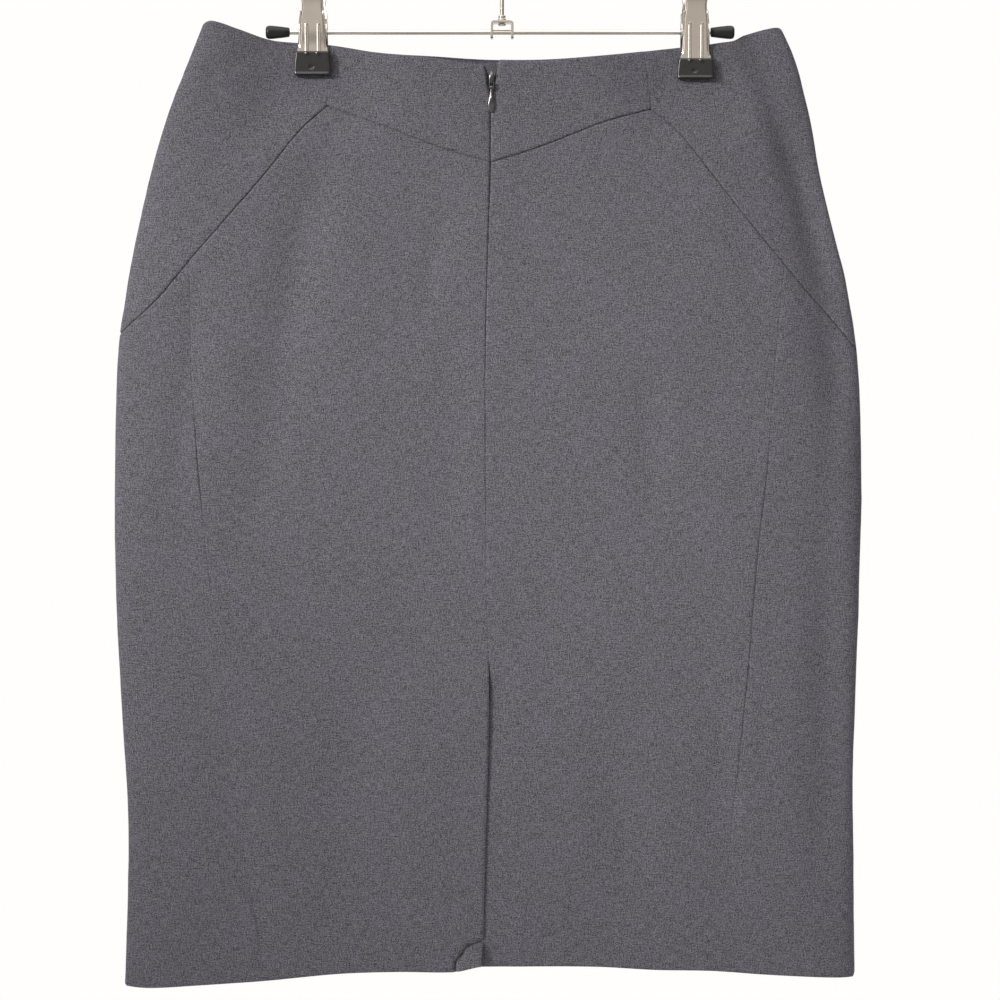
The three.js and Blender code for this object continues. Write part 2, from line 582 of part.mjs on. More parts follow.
const joinAll = (...pieces) => toGeometry(pieces.map(toSolid).reduce((a, b) => a.add(b)));
const cutAll = (piece, ...cuts) => toGeometry(
  cuts.map(toSolid).reduce((a, b) => a.subtract(b), toSolid(piece)),
);

// A round rod along X
function rodAlongX(radius, fromX, toX, sides = 12) {
  const rod = new THREE.CylinderGeometry(radius, radius, toX - fromX, sides);
  return rod.rotateZ(HALF_TURN).translate((fromX + toX) / 2, 0, 0);
}

// A flat plate drawn in X and Z, with its thickness along Y
function plate(shape, thick, bevel = 0) {
  const options = {
    depth: thick - 2 * bevel, bevelEnabled: bevel > 0, bevelSize: bevel, bevelThickness: bevel,
    bevelOffset: -bevel, bevelSegments: 1, curveSegments: 5,
  };
  const geometry = new THREE.ExtrudeGeometry(shape, options);
  return geometry.translate(0, 0, bevel - thick / 2).rotateX(HALF_TURN);
}

// A plate drawn in Y and Z, with its thickness along X
function sidePlate(shape, thick) {
  const options = { depth: thick, bevelEnabled: false, curveSegments: 5 };
  const geometry = new THREE.ExtrudeGeometry(shape, options);
  return geometry.translate(0, 0, -thick / 2).rotateY(HALF_TURN).rotateX(HALF_TURN);
}

// The pin that the pull tab hangs on: just clear of the cloth from there down to the tab's foot
function zipPivot() {
  const cloth = [ZIP.pivotDrop, ZIP.pivotDrop + ZIP.pullLength]
    .map((drop) => clothPoint(turnAt(ZIP.x, drop), drop).y);
  const clear = WALL / 2 + TOUCH + ZIP.pullThick / 2 + ZIP.pullAir;
  return new THREE.Vector3(ZIP.x, Math.min(...cloth) - clear, -BAR_BELOW_ORIGIN - ZIP.pivotDrop);
}

// The slider fills the opening between the lips, and carries two ears with the pull's pin
function addSlider() {
  const pivot = zipPivot();
  const cloth = clothPoint(turnAt(ZIP.x, ZIP.sliderTop), ZIP.sliderTop).y;
  const [top, foot] = [ZIP.pivotDrop - ZIP.sliderTop, ZIP.pivotDrop - ZIP.sliderFoot];
  const chamfer = ZIP.sliderChamfer;
  const outline = new THREE.Shape();
  outline.moveTo(-ZIP.sliderHalfFoot, foot);
  outline.lineTo(ZIP.sliderHalfFoot, foot);
  outline.lineTo(ZIP.sliderHalfTop, top - chamfer);
  outline.lineTo(ZIP.sliderHalfTop - chamfer, top);
  outline.lineTo(chamfer - ZIP.sliderHalfTop, top);
  outline.lineTo(-ZIP.sliderHalfTop, top - chamfer);
  outline.closePath();
  const thick = ZIP.sliderBehind + ZIP.sliderProud;
  const body = plate(outline, thick);
  body.translate(pivot.x, cloth + (ZIP.sliderBehind - ZIP.sliderProud) / 2, pivot.z);
  const ear = new THREE.Shape();
  ear.moveTo(-ZIP.earRadius, 0);
  ear.absarc(0, 0, ZIP.earRadius, -Math.PI, 0);
  ear.lineTo(ZIP.earRadius, foot + ZIP.earRoot);
  ear.lineTo(-ZIP.earRadius, foot + ZIP.earRoot);
  ear.closePath();
  const ears = [-1, 1].map((side) => {
    const middle = pivot.x + side * (ZIP.earFrom + ZIP.earTo) / 2;
    return sidePlate(ear, ZIP.earTo - ZIP.earFrom).translate(middle, pivot.y, pivot.z);
  });
  const pin = rodAlongX(ZIP.pinRadius, -ZIP.pinHalf, ZIP.pinHalf);
  pin.translate(pivot.x, pivot.y, pivot.z);
  addMesh('zip_slider', joinAll(body, ...ears, pin), 'zipMetal');
}

// The pull tab: a drop-shaped plate under a knuckle that turns on the pin
function addPull() {
  const pivot = zipPivot();
  const { pullHalf, neckHalf, neckLength, waistHalf, waistLength } = ZIP;
  const widest = pullHalf - ZIP.pullLength;
  const hip = widest + ZIP.hipRise;
  const drop = new THREE.Shape();
  drop.moveTo(neckHalf, 0);
  drop.lineTo(neckHalf, -neckLength);
  drop.bezierCurveTo(waistHalf, -waistLength, pullHalf, hip, pullHalf, widest);
  drop.absarc(0, widest, pullHalf, 0, -Math.PI, true);
  drop.bezierCurveTo(-pullHalf, hip, -waistHalf, -waistLength, -neckHalf, -neckLength);
  drop.lineTo(-neckHalf, 0);
  drop.closePath();
  const tab = plate(drop, ZIP.pullThick);
  const knuckle = rodAlongX(ZIP.knuckle, -ZIP.knuckleHalf, ZIP.knuckleHalf);
  const hole = rodAlongX(ZIP.holeRadius, -ZIP.earTo, ZIP.earTo);
  const pull = toGeometry(toSolid(tab).add(toSolid(knuckle)).subtract(toSolid(hole)));
  addMesh('zip_pull', pull.translate(pivot.x, pivot.y, pivot.z), 'zipMetal');
}

const barHeight = (drop) => -BAR_BELOW_ORIGIN - drop;

function addBar() {
  const bar = rodAlongX(BAR.radius, BAR.left, BAR.right);
  addMesh('hanger_bar', bar.translate(0, 0, barHeight(0)), 'steel');
  const profile = [
    [0, CAP.length], [CAP.wide - CAP.rim, CAP.length], [CAP.wide, CAP.length - CAP.rim],
    [CAP.wide, CAP.shoulder], [CAP.narrow, 0], [BAR.bore, 0],
    [BAR.bore, CAP.length - CAP.end], [0, CAP.length - CAP.end],
  ].map(([radius, along]) => new THREE.Vector2(radius, along));
  const ends = { left: [BAR.left, 1], right: [BAR.right, -1] };
  for (const [name, [end, inward]] of Object.entries(ends)) {
    const cap = turnedOut(new THREE.LatheGeometry(profile, 14)).rotateZ(inward * HALF_TURN);
    const inner = end - inward * TOUCH + inward * (CAP.length - CAP.end);
    addMesh(`hanger_cap_${name}`, cap.translate(inner, 0, barHeight(0)), 'pad');
  }
}

function addBracket() {
  const { half, sheet, up } = BRACKET;
  const outline = new THREE.Shape();
  outline.moveTo(-half, -BRACKET.down);
  outline.lineTo(sheet - half, -BRACKET.down);
  outline.lineTo(sheet - half, up - sheet);
  outline.lineTo(half - sheet, up - sheet);
  outline.lineTo(half - sheet, -BRACKET.down);
  outline.lineTo(half, -BRACKET.down);
  outline.lineTo(half, up);
  outline.lineTo(-half, up);
  outline.closePath();
  const barHole = rodAlongX(BAR.bore, -half - 1, half + 1);
  const hookHole = new THREE.CylinderGeometry(BRACKET.hookHole, BRACKET.hookHole, 6, 16);
  hookHole.rotateX(HALF_TURN).translate(0, 0, up);
  const bracket = cutAll(plate(outline, BRACKET.depth), barHole, hookHole);
  addMesh('hanger_bracket', bracket.translate(0, 0, barHeight(0)), 'steel');
}

// The hook: a turned foot riveted through the bracket, a stem, a bend and a round arc over the rail
function addHook() {
  const under = BRACKET.up - BRACKET.sheet - TOUCH;
  const over = BRACKET.up + TOUCH;
  const profile = [
    [0, under - HOOK.headThick], [HOOK.headRadius, under - HOOK.headThick], [HOOK.headRadius, under],
    [HOOK.wire, under], [HOOK.wire, over], [HOOK.collarRadius, over],
    [HOOK.collarRadius, over + HOOK.collarThick], [HOOK.sleeveRadius, over + HOOK.collarThick],
    [HOOK.sleeveRadius, HOOK.nutFrom], [HOOK.nutRadius, HOOK.nutFrom], [HOOK.nutRadius, HOOK.nutTo],
    [0, HOOK.nutTo],
  ].map(([radius, up]) => new THREE.Vector2(radius, up));
  const foot = new THREE.LatheGeometry(profile, 10).rotateX(HALF_TURN).translate(0, 0, barHeight(0));
  const radius = HOOK.inner + HOOK.wire;
  const bend = THREE.MathUtils.degToRad(HOOK.bend);
  const tip = THREE.MathUtils.degToRad(HOOK.tip);
  const stemTop = -HOOK.inner - 2 * radius * Math.sin(bend);
  const arc = (middleX, middleZ, from, to) => {
    const curve = new THREE.Curve();
    curve.getPoint = (share) => {
      const angle = lerp(from, to, share);
      return new THREE.Vector3(middleX + radius * Math.cos(angle), 0, middleZ + radius * Math.sin(angle));
    };
    return curve;
  };
  const path = new THREE.CurvePath();
  path.add(new THREE.LineCurve3(
    new THREE.Vector3(0, 0, barHeight(-HOOK.nutFrom)),
    new THREE.Vector3(0, 0, stemTop),
  ));
  path.add(arc(radius, stemTop, Math.PI, Math.PI - bend));
  const railArc = arc(0, -HOOK.inner, -bend, tip);
  path.add(railArc);
  const section = new THREE.Shape().absarc(0, 0, HOOK.wire, 0, Math.PI * 2);
  const wire = new THREE.ExtrudeGeometry(section, { steps: 34, extrudePath: path, curveSegments: 4 });
  const end = railArc.getPoint(1);
  const ball = new THREE.SphereGeometry(HOOK.tipRadius, 10, 6).translate(end.x, end.y, end.z);
  addMesh('hanger_hook', joinAll(foot, wire, ball), 'steel');
}

// The rows of one clip's leg, from its finger tab down into the pad
function legRows(clip) {
  const { away, half, tipHalf, bend, bendAway, bendHalf } = LEG_JAW;
  return [...LEG,
    { drop: clip.top - bend, away: bendAway, half: bendHalf },
    { drop: clip.top, away, half },
    { drop: clip.foot - PAD.floor, away, half: tipHalf }];
}

// A leg of a clip, its side -1 in front of the cloth and 1 behind: a ribbed plate, and two flanges
// that are drilled for the bar
function addLeg(clip, name, side) {
  const rows = legRows(clip);
  const rear = side > 0;
  const flangeX = rear ? FLANGE.rear : FLANGE.front;
  const pointsAt = (i, j) => {
    const row = rows[j];
    const wider = row.drop > REAR.tabFoot ? REAR.wider : REAR.widerAtTab;
    const ease = smoothstep(clip.top - row.drop, 0, REAR.easeAbovePad);
    const half = row.half + (rear ? wider * ease : 0);
    const columns = [-half, -RIB.x - RIB.half, -RIB.x, -RIB.x + RIB.half, 0,
      RIB.x - RIB.half, RIB.x, RIB.x + RIB.half, half];
    const ribbed = row.drop > RIB.top && row.drop < clip.top;
    const raise = ribbed && (i === 2 || i === 6) ? RIB.raise : 0;
    const [outer, inner] = [row.away + LEG_JAW.sheet / 2 + raise, row.away - LEG_JAW.sheet / 2];
    const at = (away) => new THREE.Vector3(columns[i], side * away, -row.drop);
    return [at(outer), at(inner)];
  };
  const blade = wallGeometry(9, rows.length, pointsAt);
  const awayAt = (drop) => -read(rows, 'drop', 'away', drop);
  const outline = new THREE.Shape();
  outline.moveTo(awayAt(FLANGE.top), -FLANGE.top);
  outline.lineTo(awayAt(FLANGE.foot), -FLANGE.foot);
  outline.lineTo(0, -FLANGE.radius);
  outline.absarc(0, 0, FLANGE.radius, -HALF_TURN, THREE.MathUtils.degToRad(FLANGE.heel));
  outline.closePath();
  const flanges = [-1, 1].map((end) => {
    const flange = sidePlate(outline, FLANGE.sheet).translate(end * (flangeX - FLANGE.sheet / 2), 0, 0);
    return rear ? flange.rotateZ(Math.PI) : flange;
  });
  const bore = rodAlongX(BAR.bore, -2 * flangeX, 2 * flangeX);
  const leg = [blade, ...flanges].map(toSolid).reduce((a, b) => a.add(b)).subtract(toSolid(bore));
  addMesh(name, toGeometry(leg).translate(clip.x, 0, barHeight(0)), 'steel');
}

// A pad: a soft black boot pushed over the end of a leg
function addPad(clip, name, side) {
  const [halfX, tall] = [PAD.half, clip.foot - clip.top];
  const outline = new THREE.Shape();
  outline.moveTo(-halfX, -tall + PAD.round);
  outline.quadraticCurveTo(-halfX, -tall, -halfX + PAD.round, -tall);
  outline.lineTo(halfX - PAD.round, -tall);
  outline.quadraticCurveTo(halfX, -tall, halfX, -tall + PAD.round);
  outline.lineTo(halfX - PAD.taper, 0);
  outline.lineTo(PAD.taper - halfX, 0);
  outline.closePath();
  const boot = plate(outline, PAD.thick, PAD.bevel);
  boot.translate(0, side * (PAD.near + PAD.thick / 2), 0);
  const room = LEG_JAW.sheet + 2 * TOUCH;
  const depth = tall - PAD.floor + TOUCH;
  const pocket = new THREE.BoxGeometry(2 * (LEG_JAW.half + TOUCH), room, 2 * depth);
  pocket.translate(0, side * LEG_JAW.away, 0);
  addMesh(name, cutAll(boot, pocket).translate(clip.x, 0, barHeight(clip.top)), 'pad');
}

// The coiled spring on the bar, with an arm that presses on each leg
function addSpring(clip, name) {
  const pitch = 2 * SPRING.half / SPRING.turns;
  const outside = [];
  for (let turn = 0; turn < SPRING.turns; turn += 1) {
    const start = -SPRING.half + turn * pitch;
    outside.push(
      [SPRING.groove, start],
      [SPRING.outer, start + pitch * SPRING.crestFrom],
      [SPRING.outer, start + pitch * SPRING.crestTo],
    );
  }
  const profile = [[SPRING.inner, -SPRING.half], ...outside, [SPRING.groove, SPRING.half],
    [SPRING.inner, SPRING.half], [SPRING.inner, -SPRING.half]];
  const points = profile.map(([radius, along]) => new THREE.Vector2(radius, along));
  const coil = turnedOut(new THREE.LatheGeometry(points, 10)).rotateZ(HALF_TURN);
  const arms = [-1, 1].map((side) => {
    const start = new THREE.Vector3(0, side * SPRING.armRoot, 0);
    const away = read(LEG, 'drop', 'away', SPRING.armDrop) - LEG_JAW.sheet / 2 - TOUCH - SPRING.arm;
    const end = new THREE.Vector3(0, side * away, -SPRING.armDrop);
    const arm = new THREE.CylinderGeometry(SPRING.arm, SPRING.arm, start.distanceTo(end), 6);
    const along = end.clone().sub(start).normalize();
    arm.applyQuaternion(new THREE.Quaternion().setFromUnitVectors(new THREE.Vector3(0, 1, 0), along));
    const middle = start.clone().add(end).multiplyScalar(0.5);
    return arm.translate(side * SPRING.armX, middle.y, middle.z);
  });
  addMesh(name, joinAll(coil, ...arms).translate(clip.x, 0, barHeight(0)), 'steel');
}

addYokes();
addHips();
addCentres();
addSides();
addFront();
addTape();
addSlider();
addPull();
addBar();
addBracket();
addHook();
for (const clip of CLIPS) {
  const name = `clip_${clip.side}`;
  addLeg(clip, `${name}_front_leg`, -1);
  addLeg(clip, `${name}_rear_leg`, 1);
  addPad(clip, `${name}_front_pad`, -1);
  addPad(clip, `${name}_rear_pad`, 1);
  addSpring(clip, `${name}_spring`);
}

export default part;
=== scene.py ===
# %% [markdown]
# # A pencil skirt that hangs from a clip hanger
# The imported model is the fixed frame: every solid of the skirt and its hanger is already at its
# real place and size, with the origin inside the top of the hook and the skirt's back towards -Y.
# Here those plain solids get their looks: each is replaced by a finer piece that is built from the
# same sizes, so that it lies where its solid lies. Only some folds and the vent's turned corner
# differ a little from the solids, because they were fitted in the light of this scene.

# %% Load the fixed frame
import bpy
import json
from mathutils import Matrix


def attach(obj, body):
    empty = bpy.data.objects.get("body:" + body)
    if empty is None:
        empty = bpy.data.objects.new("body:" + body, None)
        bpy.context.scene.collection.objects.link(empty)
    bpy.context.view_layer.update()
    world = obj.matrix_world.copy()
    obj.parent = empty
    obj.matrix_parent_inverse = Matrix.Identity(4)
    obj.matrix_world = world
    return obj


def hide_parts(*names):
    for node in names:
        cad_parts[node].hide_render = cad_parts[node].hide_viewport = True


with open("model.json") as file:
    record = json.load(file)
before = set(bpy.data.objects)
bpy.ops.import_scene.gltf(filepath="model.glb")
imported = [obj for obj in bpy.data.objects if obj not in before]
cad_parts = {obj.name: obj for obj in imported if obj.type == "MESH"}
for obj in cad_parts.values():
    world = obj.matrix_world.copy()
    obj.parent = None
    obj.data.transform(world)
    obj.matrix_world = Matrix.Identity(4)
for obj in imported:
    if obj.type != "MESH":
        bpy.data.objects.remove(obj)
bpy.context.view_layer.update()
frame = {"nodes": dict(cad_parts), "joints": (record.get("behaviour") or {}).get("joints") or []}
print("solids in the frame:", len(frame["nodes"]))

# %% [markdown]
# Sizes are given in millimetres, as a pattern cutter would, and turned into Blender's metres when
# a piece is finished. Heights are drops: distances down from the middle of the hanger's bar.
# A short table keeps one row for each section or fold, read by the names of its columns. The
# function `read` gives a smooth value between the rows, for one place or for thousands at once.

# %% Units and short tables
import json
import math
import bmesh
import bpy
import numpy as np
from mathutils import Matrix, Vector, noise

MM = 0.001
BAR_Z = -88.0


def table(columns, *lines):
    return {name: np.array([line[i] for line in lines], float) for i, name in enumerate(columns)}


def row_of(rows, i):
    return {name: values[i] for name, values in rows.items()}


def lerp(start, end, share):
    return start + (end - start) * share


def smoothstep(value, low, high):
    share = np.clip((value - low) / (high - low), 0, 1)
    return share * share * (3 - 2 * share)


def read(rows, along, column, at):
    keys, values = rows[along], rows[column]
    at = np.asarray(at, float)
    last = len(keys) - 1
    here = np.searchsorted(keys[1:last], at)
    before, after = np.maximum(here - 1, 0), np.minimum(here + 2, last)
    span = keys[here + 1] - keys[here]
    share = np.clip((at - keys[here]) / span, 0, 1)
    slope_in = span * (values[here + 1] - values[before]) / (keys[here + 1] - keys[before])
    slope_out = span * (values[after] - values[here]) / (keys[after] - keys[here])
    rest = 1 - share
    ends = values[here] * (1 + 2 * share) * rest**2 + values[here + 1] * (1 + 2 * rest) * share**2
    return ends + slope_in * share * rest**2 - slope_out * rest * share**2


# %% [markdown]
# The camera looks level at the skirt's back, with a long lens as for a catalogue picture. The
# lens follows from two sizes: how far away it stands, and how wide a square it shows at the bar.

# %% Camera
VIEW = {"distance": 2200.0, "side": 640.0, "x": -1.3, "z": -387.3}
SENSOR = 36.0

camera_data = bpy.data.cameras.new("view")
camera_data.sensor_width = SENSOR
camera_data.lens = SENSOR * VIEW["distance"] / VIEW["side"]
camera = bpy.data.objects.new("view", camera_data)
camera.location = (VIEW["x"] * MM, -VIEW["distance"] * MM, VIEW["z"] * MM)
camera.rotation_euler = (math.pi / 2, 0, 0)
bpy.context.scene.collection.objects.link(camera)
bpy.context.scene.camera = camera
print("lens in millimetres:", round(camera_data.lens, 1))

# %% [markdown]
# Finishes are node trees. Long trees are hard to read as a list of nodes and links, so a small
# class wraps a socket: a sum or a product of such values adds the Math node that works it out.
# Every other node comes from `node`, which sets a node's type, its settings and its sockets.


# %% Values that build nodes
class Value:
    def __init__(self, board, socket):
        self.board = board
        self.socket = socket

    def _math(self, operation, *terms):
        return self.board.node("ShaderNodeMath", {"operation": operation}, dict(enumerate(terms)))

    def __add__(self, other):
        return self._math("ADD", self, other)

    def __sub__(self, other):
        return self._math("SUBTRACT", self, other)

    def __rsub__(self, other):
        return self._math("SUBTRACT", other, self)

    def __mul__(self, other):
        return self._math("MULTIPLY", self, other)

    __radd__ = __add__
    __rmul__ = __mul__

    def wave(self):
        return self._math("SINE", self)

    def size(self):
        return self._math("ABSOLUTE", self)

    def limited(self):
        return self.board.node("ShaderNodeClamp", {}, {"Value": self, "Min": 0.0, "Max": 1.0})

    def stepped(self, low, high):
        places = {"Value": self, "From Min": low, "From Max": high}
        return self.board.node("ShaderNodeMapRange", {"interpolation_type": "SMOOTHSTEP"}, places)


# %% The board that the nodes are put on
class Board:
    def __init__(self, owner):
        owner.use_nodes = True
        self.tree = owner.node_tree
        self.tree.nodes.clear()

    def node(self, kind, settings, sockets, out=0):
        made = self.tree.nodes.new(kind)
        for name, setting in settings.items():
            setattr(made, name, setting)
        for name, value in sockets.items():
            if isinstance(value, Value):
                self.tree.links.new(value.socket, made.inputs[name])
            else:
                made.inputs[name].default_value = value
        return Value(self, made.outputs[out]) if made.outputs else None

    def mix(self, share, first, second, blend="MIX"):
        sockets = {0: share, 6: first, 7: second}
        return self.node("ShaderNodeMix", {"data_type": "RGBA", "blend_type": blend}, sockets, 2)

    def stretched(self, place, scale):
        settings = {"operation": "MULTIPLY"}
        return self.node("ShaderNodeVectorMath", settings, {0: place, 1: scale})

    def noise(self, place, scale, detail=2.0, rough=0.5, waver=0.0):
        sockets = {"Vector": place, "Scale": scale, "Detail": detail, "Roughness": rough,
                   "Distortion": waver}
        return self.node("ShaderNodeTexNoise", {}, sockets)

    def bump(self, height, distance, strength=1.0):
        sockets = {"Height": height, "Distance": distance, "Strength": strength}
        return self.node("ShaderNodeBump", {}, sockets)


# %% Opening and closing a finish
def grey(level, warm=0.0):
    return (level * (1 + warm), level, level * (1 - warm), 1.0)


def new_finish(name):
    material = bpy.data.materials.new(name)
    board = Board(material)
    place = board.node("ShaderNodeTexCoord", {}, {}, "Object")
    return material, board, place


def close_finish(board, sockets):
    shader = board.node("ShaderNodeBsdfPrincipled", {}, sockets)
    board.node("ShaderNodeOutputMaterial", {}, {"Surface": shader})


# %% [markdown]
# ## The cloth's finish
# The skirt is a plain weave of melange yarn: light and dark fibres are spun together, so both the
# upright and the level threads show short streaks of lighter and darker grey. A picture of cloth
# could be mapped on, but a pattern worked out from the cloth's own flat map stays sharp at any
# distance and follows the grain round every fold. The flat map "weave" is in metres, so a streak
# can be given in millimetres. Two stretched noises make the streaks, a third the fine specks.

# %% Melange weave
CLOTH = {"dark": (0.024, 0.023, 0.028, 1), "light": (0.255, 0.247, 0.280, 1)}
STREAK = {"wide": 0.6, "upright": 5.2, "level": 6.4, "speck": 0.72, "patch": 30.0, "waver": 0.35}
YARN = 0.45
CONTRAST = {"upright": 0.85, "level": 0.8, "speck": 2.75, "patch": 0.1, "middle": 0.46}
RELIEF = {"weave": 0.25, "upright": 0.9, "level": 0.8, "speck": 0.5, "height": 0.09}
TINTS = {"warm": (1.0, 1.0, 0.985, 1), "cool": (0.995, 0.985, 1.03, 1)}


def make_cloth_finish():
    material, board, _ = new_finish("melange_cloth")
    flat = board.node("ShaderNodeUVMap", {"uv_map": "weave"}, {})

    def streaks(across, along):
        place = board.stretched(flat, (1 / (across * MM), 1 / (along * MM), 1))
        return board.noise(place, 1.0, waver=STREAK["waver"])

    upright = streaks(STREAK["wide"], STREAK["upright"])
    level = streaks(STREAK["level"], STREAK["wide"])
    speck = board.noise(flat, 1 / (STREAK["speck"] * MM), 2.0, 0.6, STREAK["waver"])
    patch = board.noise(flat, 1 / (STREAK["patch"] * MM), 2.0)
    streak = (upright - 0.5) * CONTRAST["upright"] + (level - 0.5) * CONTRAST["level"]
    tone = streak + (speck - 0.5) * CONTRAST["speck"] + (patch - 0.5) * CONTRAST["patch"]
    shade = board.mix((tone + CONTRAST["middle"]).limited(), CLOTH["dark"], CLOTH["light"])
    tint = board.mix(patch.stepped(0.35, 0.65), TINTS["warm"], TINTS["cool"])
    turn = 2 * math.pi / (2 * YARN * MM)
    parts = board.stretched(flat, (turn, turn, 0))
    sideways, upwards = (board.node("ShaderNodeSeparateXYZ", {}, {0: parts}, i) for i in (0, 1))
    height = sideways.wave() * upwards.wave() * RELIEF["weave"] + upright * RELIEF["upright"]
    height = height + level * RELIEF["level"] + speck * RELIEF["speck"]
    close_finish(board, {
        "Base Color": board.mix(1.0, shade, tint, "MULTIPLY"),
        "Roughness": 0.78 + speck * 0.2,
        "Normal": board.bump(height, RELIEF["height"] * MM, 0.7),
        "Sheen Weight": 0.22,
        "Sheen Roughness": 0.45,
        "Specular IOR Level": 0.3,
    })
    return material


cloth_finish = make_cloth_finish()
print("finish:", cloth_finish.name)

# %% [markdown]
# The zip's tape is woven too, but tight and even: fine level ribs a little under a millimetre
# apart. Its teeth are a dyed nylon coil, smooth with a slight gloss.

# %% Zip tape and nylon coil
RIB_PITCH = 0.8
TAPE = {"dark": (0.028, 0.028, 0.032, 1), "light": (0.075, 0.073, 0.082, 1)}
COIL = {"dark": (0.03, 0.03, 0.034, 1), "light": (0.06, 0.058, 0.066, 1)}


def make_tape_finish():
    material, board, _ = new_finish("zip_tape")
    flat = board.node("ShaderNodeUVMap", {"uv_map": "weave"}, {})
    turned = board.stretched(flat, (0, 2 * math.pi / (RIB_PITCH * MM), 0))
    ribs = board.node("ShaderNodeSeparateXYZ", {}, {0: turned}, 1).wave()
    speck = board.noise(flat, 1800.0, 2.0)
    close_finish(board, {
        "Base Color": board.mix((ribs * 0.2 + speck).limited(), TAPE["dark"], TAPE["light"]),
        "Roughness": 0.7 + speck * 0.2,
        "Normal": board.bump(ribs + speck * 0.5, 0.08 * MM),
        "Sheen Weight": 0.15,
    })
    return material


def make_coil_finish():
    material, board, place = new_finish("nylon_coil")
    speck = board.noise(place, 900.0, 2.0)
    close_finish(board, {
        "Base Color": board.mix(speck, COIL["dark"], COIL["light"]),
        "Roughness": 0.32 + speck * 0.15,
        "Normal": board.bump(speck, 0.02 * MM),
    })
    return material


tape_finish = make_tape_finish()
coil_finish = make_coil_finish()
print("finishes:", tape_finish.name, coil_finish.name)

# %% [markdown]
# ## The metals
# The hanger is pressed and drawn steel with satin chrome plate. Fine polishing lines run along
# each piece, and handling leaves soft smudges that are darker and a little rougher. The zip's
# slider and pull are dark nickel. A metal has no colour of its own under its shine: its base colour
# tints what it mirrors. So the lines and smudges go mostly to the roughness and a very small bump.

# %% Satin chrome and dark nickel
SMUDGED = 0.6


def make_metal_finish(name, colour, rough, line_scale, line_height):
    material, board, place = new_finish(name)
    lines = board.noise(board.stretched(place, line_scale), 1.0, 3.0)
    smudge = board.noise(place, 90.0, 3.0, 0.6)
    worn = board.noise(place, 700.0, 2.0).stepped(0.62, 0.72)
    close_finish(board, {
        "Base Color": board.mix(smudge * 0.3, colour, tuple(SMUDGED * c for c in colour[:3]) + (1,)),
        "Metallic": 1.0,
        "Roughness": rough + (lines - 0.5) * 0.1 + (smudge - 0.5) * 0.14 + worn * 0.05,
        "Normal": board.bump(lines, line_height * MM, 0.6),
    })
    return material


steel_finish = make_metal_finish(
    "satin_chrome", (0.66, 0.615, 0.56, 1), rough=0.2, line_scale=(2600, 2600, 160), line_height=0.006)
bar_finish = make_metal_finish(
    "drawn_chrome", (0.68, 0.64, 0.59, 1), rough=0.18, line_scale=(120, 2600, 2600), line_height=0.005)
nickel_finish = make_metal_finish(
    "dark_nickel", (0.13, 0.13, 0.135, 1), rough=0.2, line_scale=(900, 900, 300), line_height=0.004)
print("finishes:", steel_finish.name, bar_finish.name, nickel_finish.name)

# %% [markdown]
# ## Black vinyl and rubber
# The clips' boots are soft vinyl that shines where it is stretched. The bar's end caps are rubber,
# duller, with a grey bloom. Both are marked by tiny paler specks, which are the highest tops of a
# fine noise, cut off by a steep step.

# %% Finishes of the boots and caps
PALE = grey(0.04)


def make_black_finish(name, colour, rough, grain, gloss):
    material, board, place = new_finish(name)
    cloud = board.noise(place, 160.0, 3.0, 0.6)
    specks = board.noise(place, 2600.0, 1.0).stepped(0.7, 0.76)
    skin = board.noise(place, 1900.0, 2.0)
    close_finish(board, {
        "Base Color": board.mix((cloud * 0.3 + specks * 0.5).limited(), colour, PALE),
        "Roughness": rough + (cloud - 0.5) * 0.18 + specks * 0.25,
        "Normal": board.bump(skin * grain + cloud, 0.05 * MM, 0.5),
        "Specular IOR Level": gloss,
    })
    return material


vinyl_finish = make_black_finish(
    "black_vinyl", (0.016, 0.016, 0.0165, 1), rough=0.28, grain=0.25, gloss=0.5)
rubber_finish = make_black_finish(
    "black_rubber", (0.011, 0.011, 0.012, 1), rough=0.38, grain=0.6, gloss=0.3)
print("finishes:", vinyl_finish.name, rubber_finish.name)

# %% [markdown]
# ## The shape of the hanging cloth
# The skirt is a flat tube. Each level section is a thin lens: its side edges and half its depth
# come from a row of `SECTIONS`. A place on the cloth is an angle round the tube, 0 at the centre
# back and a quarter turn at the side folds, and a drop. These are the same sizes that the solids
# were built from, so the fine cloth lies on them.

# %% Sections of the tube
WALL = 1.2
SIDE_FOLD_RADIUS = 2.6
PINCHED_DEPTH = 0.8
HALF_TURN = math.pi / 2

SECTIONS = table(("drop", "left", "right", "depth"),
    (-8.0, -190.1, 176.6, 6.2), (17.7, -200.3, 187.5, 6.2), (38.1, -208.6, 193.3, 6.3),
    (56.1, -215.0, 197.8, 7.2), (94.5, -225.9, 204.8, 10.0), (132.9, -234.9, 213.8, 13.0),
    (161.7, -240.0, 220.8, 14.8), (209.7, -246.4, 227.8, 16.0), (286.5, -248.3, 230.4, 16.0),
    (363.3, -247.0, 228.5, 15.3), (440.1, -243.2, 225.9, 14.5), (497.7, -239.4, 224.6, 14.0),
    (555.3, -240.0, 225.3, 13.5), (615.0, -241.6, 225.9, 13.0))
CLIPS = {
    "left": {"x": -121.1, "top": 12.5, "foot": 28.2},
    "right": {"x": 123.7, "top": 17.0, "foot": 30.5},
}
PAD_HALF = 11.8
PINCH = {"half": PAD_HALF + 5.5, "fade": 45.0, "fade_below": 50.0}


# %% Any level section, and the hold of the clips
def ring_at(drop):
    left = read(SECTIONS, "drop", "left", drop) + WALL / 2
    right = read(SECTIONS, "drop", "right", drop) - WALL / 2
    depth = read(SECTIONS, "drop", "depth", drop)
    reach = (right - left) / 2
    return (left + right) / 2, reach, depth, 2 * SIDE_FOLD_RADIUS * reach / depth**2


